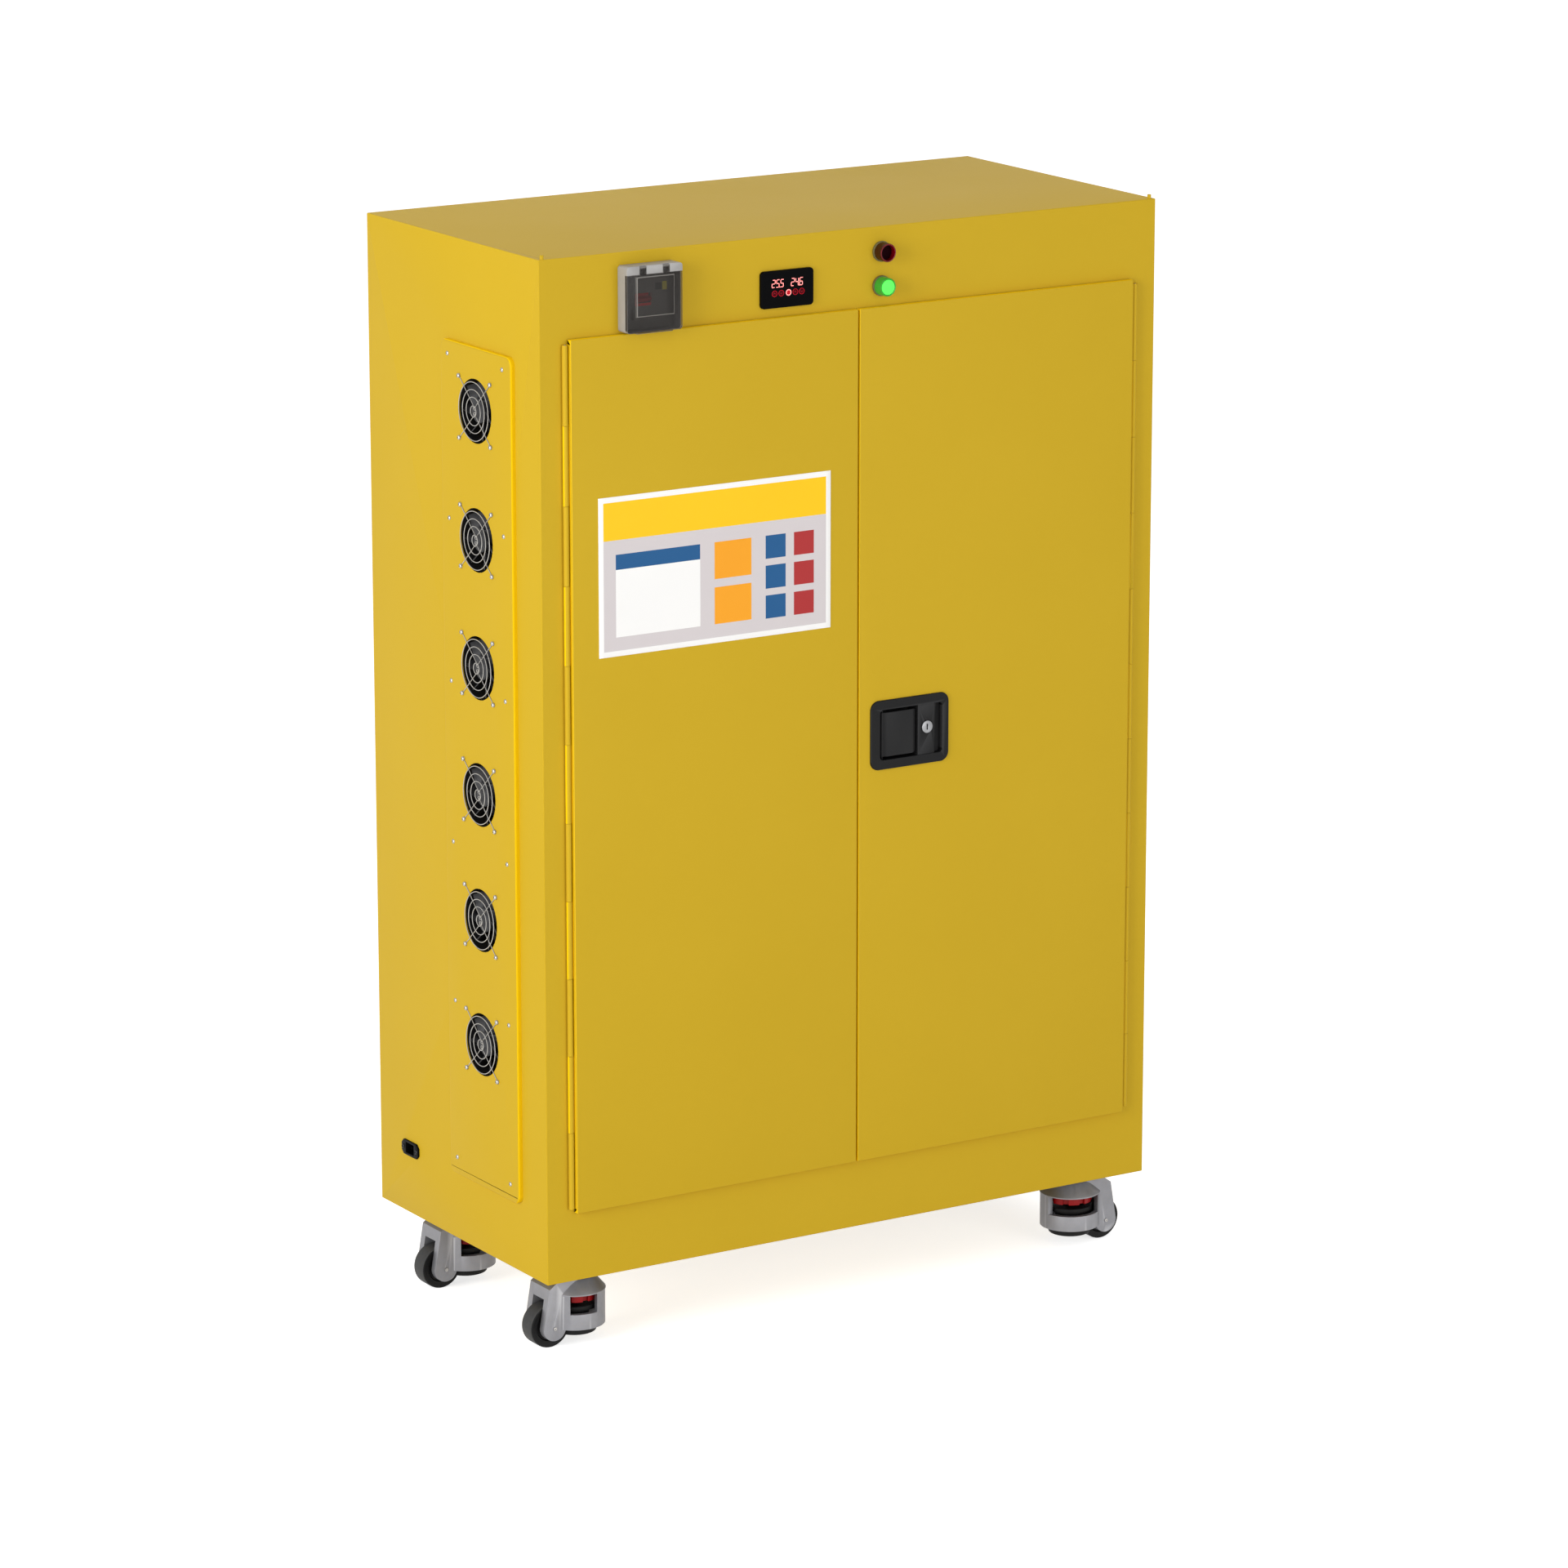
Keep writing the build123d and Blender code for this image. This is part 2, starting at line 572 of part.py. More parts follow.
with BuildPart() as finger_guards:
    guard_x = (COVER_FACE - GUARD_WIRE, COVER_FACE)
    outer_x = (guard_x[0] - GUARD_WIRE, guard_x[0])
    for fan_z in FAN_CENTRES:
        # rings lie outside, on two V-shaped wires whose ends are eyes under the screws
        for radius in GUARD_RADII:
            along_x(outer_x, FAN_Y, fan_z, radius + GUARD_WIRE / 2)
            along_x(outer_x, FAN_Y, fan_z, radius - GUARD_WIRE / 2, Mode.SUBTRACT)
        for sz in (-1, 1):
            apex_z = fan_z + sz * GUARD_APEX
            along_x(guard_x, FAN_Y, apex_z, GUARD_APEX_R)
            for sy in (-1, 1):
                run_y, run_z = sy * HALF_HOLES, sz * (HALF_HOLES - GUARD_APEX)
                run = hypot(run_y, run_z)
                length = run - GUARD_EYE_R - GUARD_APEX_R + GUARD_WIRE
                tilt = degrees(atan2(run_z, run_y))
                at = (middle(guard_x), FAN_Y + run_y / 2, apex_z + run_z / 2)
                with Locations(Location(at, (tilt, 0, 0))):
                    Box(GUARD_WIRE, length, GUARD_WIRE)
                eye_y, eye_z = FAN_Y + run_y, apex_z + run_z
                along_x(guard_x, eye_y, eye_z, GUARD_EYE_R)
                along_x(guard_x, eye_y, eye_z, SCREW_R + SCREW_FIT, Mode.SUBTRACT)
            along_x(guard_x, FAN_Y, apex_z, GUARD_APEX_R - GUARD_WIRE, Mode.SUBTRACT)
finger_guards.part.label = "finger_guards"

with BuildPart() as side_screws:
    # every domed screw head of the fan bank and the inlet, outside the sheet it holds
    heads = [(COVER_FACE, y, z) for y, z in COVER_SCREWS]
    heads += [(COVER_FACE - GUARD_WIRE, y, z) for y, z in GUARD_SCREWS]
    for side in (-1, 1):
        screw_y = INLET_Y + side * INLET_SCREW_SPACING / 2
        heads.append((LEFT - INLET_FLANGE[2], screw_y, INLET_Z))
    for x, y, z in heads:
        along_x((x - SCREW_HEAD_HEIGHT, x), y, z, SCREW_HEAD_R)
    crowns = side_screws.faces().filter_by(Axis.X).filter_by(
        lambda face: face.normal_at().X < 0
    )
    chamfer([crown.edges()[0] for crown in crowns], SCREW_HEAD_CHAMFER)
side_screws.part.label = "side_screws"

# ==== mains inlet ==============================================================================
with BuildPart() as power_inlet:
    inlet_plane = Plane(origin=(LEFT, INLET_Y, INLET_Z), x_dir=(0, -1, 0), z_dir=(-1, 0, 0))
    with BuildSketch(inlet_plane) as inlet_flange:
        Rectangle(INLET_FLANGE[0], INLET_FLANGE[1])
        chamfer(inlet_flange.vertices(), INLET_CHAMFER)
    extrude(amount=INLET_FLANGE[2])
    with BuildSketch(inlet_plane):
        Rectangle(INLET_BODY[0], INLET_BODY[1])
    extrude(amount=-INLET_BODY[2])
    with BuildSketch(inlet_plane.offset(INLET_FLANGE[2])):
        Rectangle(INLET_RECESS[0], INLET_RECESS[1])
    extrude(amount=-INLET_RECESS[2], mode=Mode.SUBTRACT)
    with BuildSketch(inlet_plane.offset(INLET_FLANGE[2] - INLET_RECESS[2])):
        with Locations(
            (-INLET_PIN_PITCH, -INLET_PIN[1] / 2),
            (0, INLET_PIN[1] / 2),
            (INLET_PIN_PITCH, -INLET_PIN[1] / 2),
        ):
            Rectangle(INLET_PIN[0], INLET_PIN[1])
    extrude(amount=INLET_PIN[2])
power_inlet.part.label = "power_inlet"

# ==== indicators ================================================================================
with BuildPart() as display_module:
    with BuildSketch(Plane.XZ.offset(-FRONT)):
        with Locations((DISPLAY_X, DISPLAY_Z)):
            RectangleRounded(DISPLAY_SIZE[0], DISPLAY_SIZE[1], DISPLAY_CORNER)
    extrude(amount=DISPLAY_PROUD)
    fillet(display_module.faces().sort_by(Axis.Y)[0].edges(), DISPLAY_ROUNDING)
    with BuildSketch(Plane.XZ.offset(-FRONT)):
        with Locations((DISPLAY_X, DISPLAY_Z)):
            Rectangle(DISPLAY_BODY[0], DISPLAY_BODY[1])
    extrude(amount=-DISPLAY_BODY[2])
display_module.part.label = "display_module"

LENS_FACE = FRONT - LAMP_PROUD
with BuildPart() as lamp_collars:
    for lamp_z in (LAMP_RED_Z, LAMP_GREEN_Z):
        along_y(LAMP_X, (FRONT - LAMP_COLLAR_THICK, FRONT), lamp_z, LAMP_COLLAR_R)
        along_y(LAMP_X, (FRONT, FRONT + LAMP_BARREL_LENGTH), lamp_z, LAMP_BARREL_R)
        nut_y = (FRONT + SHEET, FRONT + SHEET + LAMP_NUT_THICK)
        along_y(LAMP_X, nut_y, lamp_z, LAMP_NUT_R)
lamp_collars.part.label = "lamp_collars"

lamp_lenses = []
for name, lamp_z in (("red_lamp_lens", LAMP_RED_Z), ("green_lamp_lens", LAMP_GREEN_Z)):
    with BuildPart() as lamp_lens:
        along_y(LAMP_X, (LENS_FACE, FRONT - LAMP_COLLAR_THICK), lamp_z, LAMP_LENS_R)
        fillet(lamp_lens.faces().sort_by(Axis.Y)[0].edges(), LAMP_ROUNDING)
    lamp_lens.part.label = name
    lamp_lenses.append(lamp_lens)

# ==== breaker enclosure =========================================================================
BOX_X = (BREAKER_X - BREAKER_BOX[0] / 2, BREAKER_X + BREAKER_BOX[0] / 2)
BOX_Z = (BREAKER_BOTTOM, BREAKER_BOTTOM + BREAKER_BOX[1])
BOX_FRONT = FRONT - BREAKER_BOX[2]
BODY_FRONT = FRONT - BREAKER_WALL - BREAKER_BODY_DEPTH
LID_AXIS_Z = BOX_Z[1] - LID_AXIS_DROP
LID_Y = (BOX_FRONT - LID_GAP - COVER_LID_THICK, BOX_FRONT - LID_GAP)
CLIP_SPANS = [
    (BREAKER_X + offset - CLIP_WIDTH / 2, BREAKER_X + offset + CLIP_WIDTH / 2)
    for offset in (-CLIP_X, CLIP_X)
]
LID_AXIS_Y = BOX_FRONT - LID_GAP - COVER_LID_THICK / 2

with BuildPart() as breaker_base:
    with BuildSketch(Plane.XZ.offset(-FRONT)):
        with Locations((BREAKER_X, middle(BOX_Z))):
            RectangleRounded(BREAKER_BOX[0], BREAKER_BOX[1], BREAKER_CORNER)
    extrude(amount=BREAKER_BOX[2])
    with BuildSketch(Plane.XZ.offset(-FRONT + BREAKER_WALL)):
        with Locations((BREAKER_X, middle(BOX_Z))):
            RectangleRounded(
                BREAKER_BOX[0] - 2 * BREAKER_WALL,
                BREAKER_BOX[1] - 2 * BREAKER_WALL,
                BREAKER_CORNER - BREAKER_WALL,
            )
    extrude(amount=BREAKER_BOX[2], mode=Mode.SUBTRACT)
    # header that carries the lid: a pin crosses each of its two notches
    with BuildSketch(Plane.XZ.offset(-BOX_FRONT)):
        with Locations((BREAKER_X, middle(BOX_Z))):
            RectangleRounded(BREAKER_BOX[0], BREAKER_BOX[1], BREAKER_CORNER)
        with Locations((BREAKER_X, middle(BOX_Z) - HEADER_HEIGHT)):
            Rectangle(BREAKER_BOX[0], BREAKER_BOX[1], mode=Mode.SUBTRACT)
    extrude(amount=BOX_FRONT - LID_Y[0])
    for clip in CLIP_SPANS:
        notch = (clip[0] - LID_GAP, clip[1] + LID_GAP)
        header_z = (BOX_Z[1] - HEADER_HEIGHT, BOX_Z[1])
        block(notch, (LID_Y[0], BOX_FRONT), header_z, Mode.SUBTRACT)
        along_x(notch, LID_AXIS_Y, LID_AXIS_Z, LID_PIN_R)
breaker_base.part.label = "breaker_base"

with BuildPart() as breaker_cover:
    lid_top = BOX_Z[1] - HEADER_HEIGHT - LID_GAP
    block(BOX_X, LID_Y, (BOX_Z[0], lid_top))
    fillet(breaker_cover.edges().filter_by(Axis.Y).group_by(Axis.Z)[0], BREAKER_CORNER)
    window_top = BOX_Z[1] - LID_WINDOW_DROP
    block(
        (BREAKER_X - LID_WINDOW[0] / 2, BREAKER_X + LID_WINDOW[0] / 2),
        (LID_Y[0] - LID_WINDOW[2], LID_Y[0]),
        (window_top - LID_WINDOW[1], window_top),
    )
    fillet(breaker_cover.faces().sort_by(Axis.Y)[0].edges(), LID_WINDOW_ROUNDING)
    tab_x = (BREAKER_X - LID_TAB[0] / 2, BREAKER_X + LID_TAB[0] / 2)
    block(tab_x, LID_Y, (BOX_Z[0] - LID_TAB[1], BOX_Z[0] + LID_TAB[1]))
    # two clips that turn on the header's pins
    for clip in CLIP_SPANS:
        block(clip, LID_Y, (lid_top, LID_AXIS_Z))
        along_x(clip, LID_AXIS_Y, LID_AXIS_Z, COVER_LID_THICK / 2)
        along_x(clip, LID_AXIS_Y, LID_AXIS_Z, LID_PIN_R + LID_FIT, Mode.SUBTRACT)
breaker_cover.part.label = "breaker_cover"

TOGGLE_Y = BODY_FRONT + TOGGLE_PIVOT_DEPTH
TOGGLE_Z = middle(BOX_Z)
with BuildPart() as circuit_breaker:
    body_x = (BREAKER_X - BREAKER_BODY[0] / 2, BREAKER_X + BREAKER_BODY[0] / 2)
    body_z = (TOGGLE_Z - BREAKER_BODY[1] / 2, TOGGLE_Z + BREAKER_BODY[1] / 2)
    block(body_x, (BODY_FRONT, FRONT - BREAKER_WALL), body_z)
    slot_x = (TOGGLE_X - TOGGLE_SIZE[0] / 2 - PANEL_FIT, TOGGLE_X + TOGGLE_SIZE[0] / 2 + PANEL_FIT)
    slot_z = (TOGGLE_Z - TOGGLE_SIZE[1] / 2 - TOGGLE_ROOM, TOGGLE_Z + TOGGLE_SIZE[1] / 2 + TOGGLE_ROOM)
    block(slot_x, (BODY_FRONT, BODY_FRONT + TOGGLE_SIZE[2]), slot_z, Mode.SUBTRACT)
circuit_breaker.part.label = "circuit_breaker"

with BuildPart() as breaker_toggle:
    toggle_x = (TOGGLE_X - TOGGLE_SIZE[0] / 2, TOGGLE_X + TOGGLE_SIZE[0] / 2)
    along_x(toggle_x, TOGGLE_Y, TOGGLE_Z, TOGGLE_SIZE[2] / 2)
    # the lever points down, half its travel below level, while the breaker is off
    with Locations(Location((TOGGLE_X, TOGGLE_Y, TOGGLE_Z), (TOGGLE_DROP, 0, 0))):
        Box(
            TOGGLE_SIZE[0], TOGGLE_REACH, TOGGLE_SIZE[2],
            align=(Align.CENTER, Align.MAX, Align.CENTER),
        )
breaker_toggle.part.label = "breaker_toggle"

# ==== hinges ================================================================================


def knuckle_spans(first):
    """Every second knuckle's height span, from the first (0, the frame's) or second (1)."""
    return [
        (
            HINGE_BOTTOM + n * KNUCKLE_PITCH + KNUCKLE_GAP / 2,
            HINGE_BOTTOM + (n + 1) * KNUCKLE_PITCH - KNUCKLE_GAP / 2,
        )
        for n in range(first, KNUCKLE_COUNT, 2)
    ]


with BuildPart() as hinge_pins:
    for side in (-1, 1):
        pin_span = (HINGE_BOTTOM, HINGE_BOTTOM + HINGE_LENGTH)
        post(side * HINGE_X, HINGE_Y, pin_span, HINGE_PIN_R)
hinge_pins.part.label = "hinge_pins"

with BuildPart() as frame_hinge_leaves:
    for side in (-1, 1):
        leaf_x = sorted((side * HINGE_X, side * (DOOR_EDGE - DOOR_OVERLAP + SHEET)))
        leaf_z = (HINGE_BOTTOM, HINGE_BOTTOM + HINGE_LENGTH)
        block(leaf_x, (FRONT - LEAF_THICK, FRONT), leaf_z)
        relief_x = sorted((side * (HINGE_X + KNUCKLE_R), side * (HINGE_X - KNUCKLE_R - PANEL_FIT)))
        for span in knuckle_spans(1):
            relief = (span[0] - KNUCKLE_GAP, span[1] + KNUCKLE_GAP)
            block(relief_x, (FRONT - LEAF_THICK, FRONT), relief, Mode.SUBTRACT)
        for span in knuckle_spans(0):
            post(side * HINGE_X, HINGE_Y, span, KNUCKLE_R)
        post(side * HINGE_X, HINGE_Y, leaf_z, HINGE_PIN_R + HINGE_FIT, Mode.SUBTRACT)
frame_hinge_leaves.part.label = "frame_hinge_leaves"

# ==== doors =================================================================================
PAN_X = (DOOR_GAP / 2 + PAN_FREE_INSET, OPENING_X - PAN_SIDE_GAP)
PAN_Z = (OPENING_BOTTOM + PAN_SIDE_GAP, OPENING_TOP - PAN_SIDE_GAP)
SKIN_INSIDE = DOOR_FACE + SHEET
door_skins, door_inners = [], []
for name, side in (("left_door", -1), ("right_door", 1)):
    with BuildPart() as door_skin:
        skin_x = sorted((side * DOOR_GAP / 2, side * DOOR_EDGE))
        pan_back(skin_x, (DOOR_BOTTOM, DOOR_TOP), (DOOR_FACE, DOOR_REAR), 1, SHEET)
        fillet(door_skin.edges().filter_by(Axis.Z).group_by(Axis.Y)[0], FOLD_R)
        # rear lip between the skin's edge and the inner pan
        lip_y = (DOOR_REAR - SHEET, DOOR_REAR)
        block(
            (skin_x[0] + SHEET, skin_x[1] - SHEET), lip_y, (DOOR_BOTTOM + SHEET, DOOR_TOP - SHEET)
        )
        pan_hole_x = sorted((side * (PAN_X[0] - PANEL_FIT), side * (PAN_X[1] + PANEL_FIT)))
        pan_hole_z = (PAN_Z[0] - PANEL_FIT, PAN_Z[1] + PANEL_FIT)
        block(pan_hole_x, lip_y, pan_hole_z, Mode.SUBTRACT)
        # hinge leaf on the door's edge, with its knuckles
        leaf_x = sorted((side * DOOR_EDGE, side * (DOOR_EDGE + LEAF_THICK)))
        block(leaf_x, (DOOR_FACE + SHEET, DOOR_REAR), (HINGE_BOTTOM, HINGE_BOTTOM + HINGE_LENGTH))
        for span in knuckle_spans(1):
            web_x = sorted((side * DOOR_EDGE, side * HINGE_X))
            block(web_x, (HINGE_Y - LEAF_THICK / 2, HINGE_Y + LEAF_THICK / 2), span)
            post(side * HINGE_X, HINGE_Y, span, KNUCKLE_R)
            post(side * HINGE_X, HINGE_Y, span, HINGE_PIN_R + HINGE_FIT, Mode.SUBTRACT)
        if side > 0:
            tub_x = (RECESS_X[0] - RECESS_WALL - PANEL_FIT, RECESS_X[1] + RECESS_WALL + PANEL_FIT)
            tub_half = RECESS_HEIGHT / 2 + RECESS_WALL + PANEL_FIT
            block(
                tub_x, (DOOR_FACE, SKIN_INSIDE), (LATCH_Z - tub_half, LATCH_Z + tub_half),
                Mode.SUBTRACT,
            )
    door_skin.part.label = f"{name}_skin"
    door_skins.append(door_skin)

    with BuildPart() as door_inner:
        inner_x = sorted((side * PAN_X[0], side * PAN_X[1]))
        pan_back(inner_x, PAN_Z, (SKIN_INSIDE, PAN_BACK), -1, SHEET)
        if side > 0:
            guide_back = PAN_BACK - SHEET
            for rod_x, end_z in ((LOCK_X + ROD_OFFSET, PAN_Z[1]), (LOCK_X - ROD_OFFSET, PAN_Z[0])):
                inward = -1 if end_z > LOCK_Z else 1
                edge_z = sorted((end_z, end_z + inward * SHEET))
                post(rod_x, ROD_Y, edge_z, ROD_R + ROD_GUIDE_FIT, Mode.SUBTRACT)
                # a pressed guide half way along the rod
                guide_z = (end_z + LOCK_Z) / 2
                guide = (guide_z - ROD_GUIDE_SIZE[1] / 2, guide_z + ROD_GUIDE_SIZE[1] / 2)
                guide_x = (rod_x - ROD_GUIDE_SIZE[0] / 2, rod_x + ROD_GUIDE_SIZE[0] / 2)
                block(guide_x, (ROD_Y - 2 * ROD_R, guide_back), guide)
                post(rod_x, ROD_Y, guide, ROD_R + ROD_GUIDE_FIT, Mode.SUBTRACT)
    door_inner.part.label = f"{name}_inner"
    door_inners.append(door_inner)

with BuildPart() as door_seal:
    seal_y = (STOP_FRONT - SEAL_THICK, STOP_FRONT)
    seal_x = OPENING_X - PAN_SIDE_GAP
    seal_z = (OPENING_BOTTOM + PAN_SIDE_GAP, OPENING_TOP - PAN_SIDE_GAP)
    block((-seal_x, seal_x), seal_y, seal_z)
    block(
        (-seal_x + SEAL_WIDTH, seal_x - SEAL_WIDTH),
        seal_y,
        (seal_z[0] + SEAL_WIDTH, seal_z[1] - SEAL_WIDTH),
        Mode.SUBTRACT,
    )
door_seal.part.label = "door_seal"

with BuildPart() as placard:
    block(PLACARD_X, (DOOR_FACE - PLACARD_THICK, DOOR_FACE), PLACARD_Z)
placard.part.label = "placard"

# ==== latch =================================================================================
BEZEL_FACE = DOOR_FACE - BEZEL_PROUD
TUB_FLOOR = DOOR_FACE + RECESS_DEPTH
with BuildPart() as latch_bezel:
    with BuildSketch(Plane.XZ.offset(-DOOR_FACE)):
        with Locations((middle(BEZEL_X), LATCH_Z)):
            RectangleRounded(BEZEL_X[1] - BEZEL_X[0], BEZEL_HEIGHT, BEZEL_CORNER)
    extrude(amount=BEZEL_PROUD)
    fillet(latch_bezel.faces().sort_by(Axis.Y)[0].edges(), 1.5)
    tub_outer = (RECESS_X[0] - RECESS_WALL, RECESS_X[1] + RECESS_WALL)
    outer_half = RECESS_HEIGHT / 2 + RECESS_WALL
    tub_z = (LATCH_Z - outer_half, LATCH_Z + outer_half)
    block(tub_outer, (DOOR_FACE, TUB_FLOOR + RECESS_WALL), tub_z)
    with BuildSketch(Plane.XZ.offset(-BEZEL_FACE)):
        with Locations((middle(RECESS_X), LATCH_Z)):
            RectangleRounded(RECESS_X[1] - RECESS_X[0], RECESS_HEIGHT, RECESS_CORNER)
    extrude(amount=-(TUB_FLOOR - BEZEL_FACE), mode=Mode.SUBTRACT)
    recess_z = (LATCH_Z - RECESS_HEIGHT / 2, LATCH_Z + RECESS_HEIGHT / 2)
    block(LOCK_BLOCK_X, (DOOR_FACE - BEZEL_PROUD / 2, TUB_FLOOR), recess_z)
    block((LOCK_BLOCK_X[1], RECESS_X[1]), (DOOR_FACE + LEDGE_DEPTH, TUB_FLOOR), recess_z)
    along_y(
        LOCK_X, (BEZEL_FACE, TUB_FLOOR + RECESS_WALL), LOCK_Z, LOCK_R + LOCK_FIT, Mode.SUBTRACT
    )
    post(PIVOT_X, PIVOT_Y, tub_z, PIVOT_PIN_R + PIVOT_FIT, Mode.SUBTRACT)
latch_bezel.part.label = "latch_bezel"

with BuildPart() as latch_paddle:
    paddle_front = DOOR_FACE - PADDLE_PROUD
    fold_back = paddle_front + PADDLE_FOLD_DROP
    paddle_z = (LATCH_Z - PADDLE_HEIGHT / 2, LATCH_Z + PADDLE_HEIGHT / 2)
    with BuildSketch(Plane.XY.offset(paddle_z[0])):
        Polygon(
            (PADDLE_X[0], fold_back),
            (PADDLE_X[0] + PADDLE_FOLD, paddle_front),
            (PADDLE_X[1] - PADDLE_FOLD, paddle_front),
            (PADDLE_X[1], fold_back),
            (PADDLE_X[1], fold_back + PADDLE_THICK),
            (PADDLE_X[1] - PADDLE_FOLD, paddle_front + PADDLE_THICK),
            (PADDLE_X[0] + PADDLE_FOLD, paddle_front + PADDLE_THICK),
            (PADDLE_X[0], fold_back + PADDLE_THICK),
            align=None,
        )
    extrude(amount=PADDLE_HEIGHT)
    post(PIVOT_X, PIVOT_Y, paddle_z, PIVOT_R)
    with BuildSketch(Plane.XZ.offset(-PIVOT_Y - PIVOT_R)) as paddle_outline:
        with Locations((middle(PADDLE_X), LATCH_Z)):
            Rectangle(PADDLE_X[1] - PADDLE_X[0] + 2 * PIVOT_R, PADDLE_HEIGHT)
        corners = paddle_outline.vertices().group_by(Axis.X)[-1]
        fillet(corners, PADDLE_CORNER)
    extrude(amount=4 * PIVOT_R, both=True, mode=Mode.INTERSECT)
    pin_half = RECESS_HEIGHT / 2 + RECESS_WALL - PANEL_FIT
    post(PIVOT_X, PIVOT_Y, (LATCH_Z - pin_half, LATCH_Z + pin_half), PIVOT_PIN_R)
latch_paddle.part.label = "latch_paddle"

CAM_FRONT = CAM_BACK - CAM_THICK
with BuildPart() as lock_cylinder:
    lock_face = DOOR_FACE - BEZEL_PROUD / 2 - LOCK_PROUD
    along_y(LOCK_X, (lock_face, CAM_FRONT), LOCK_Z, LOCK_R)
    key_x = (LOCK_X - KEY_SLOT[0] / 2, LOCK_X + KEY_SLOT[0] / 2)
    key_z = (LOCK_Z - KEY_SLOT[1] / 2, LOCK_Z + KEY_SLOT[1] / 2)
    block(key_x, (lock_face, lock_face + KEY_SLOT[2]), key_z, Mode.SUBTRACT)
    # cam bar with a drive pin at each end, at 45 degrees while the rods are drawn back
    with BuildSketch(Plane.XZ.offset(-CAM_BACK)):
        with Locations((LOCK_X, LOCK_Z)):
            SlotCenterToCenter(2 * CAM_PIN_REACH, 2 * CAM_HALF_WIDTH, rotation=-45)
    extrude(amount=CAM_THICK)
    for side in (-1, 1):
        along_y(
            LOCK_X + side * PIN_RISE,
            (CAM_BACK, ROD_Y + ROD_PLATE[1]),
            LOCK_Z - side * PIN_RISE,
            CAM_PIN_R,
        )
lock_cylinder.part.label = "lock_cylinder"

lock_rods = []
for name, side in (("upper_rod", 1), ("lower_rod", -1)):
    with BuildPart() as lock_rod:
        rod_x = LOCK_X + side * ROD_OFFSET
        plate_z = LOCK_Z - side * PIN_RISE
        tip_z = PAN_Z[1] - ROD_TIP_INSET if side > 0 else PAN_Z[0] + ROD_TIP_INSET
        post(rod_x, ROD_Y, sorted((plate_z, tip_z)), ROD_R)
        block(
            (rod_x - ROD_PLATE[0] / 2, rod_x + ROD_PLATE[0] / 2),
            (ROD_Y - ROD_R, ROD_Y + ROD_R),
            (plate_z - ROD_PLATE[2] / 2, plate_z + ROD_PLATE[2] / 2),
        )
        inner_reach = PIN_RISE - CAM_PIN_R - CAM_PIN_CLEARANCE
        outer_reach = CAM_PIN_REACH + CAM_PIN_R + CAM_PIN_CLEARANCE
        slot_half = CAM_PIN_R + CAM_PIN_CLEARANCE
        block(
            sorted((LOCK_X + side * inner_reach, LOCK_X + side * outer_reach)),
            (ROD_Y - ROD_R, ROD_Y + ROD_R),
            (plate_z - slot_half, plate_z + slot_half),
            Mode.SUBTRACT,
        )
    lock_rod.part.label = name
    lock_rods.append(lock_rod)

# ==== levelling casters ========================================================================
CASTERS = [
    (name, side * CASTER_X, caster_y, side)
    for name, side, caster_y in (
        ("front_left", -1, CASTER_Y[0]),
        ("front_right", 1, CASTER_Y[0]),
        ("rear_left", -1, CASTER_Y[1]),
        ("rear_right", 1, CASTER_Y[1]),
    )
]

with BuildPart() as caster_plates:
    for name, x, y, side in CASTERS:
        half = PLATE_SIZE / 2
        block((x - half, x + half), (y - half, y + half), (BASE - PLATE_THICK, BASE))
        post(x, y, (CAP_TOP + RACE_GAP, BASE - PLATE_THICK), RACE_R)
        post(x, y, (STEM_BOTTOM, BASE - PLATE_THICK), STEM_R)
caster_plates.part.label = "caster_plates"

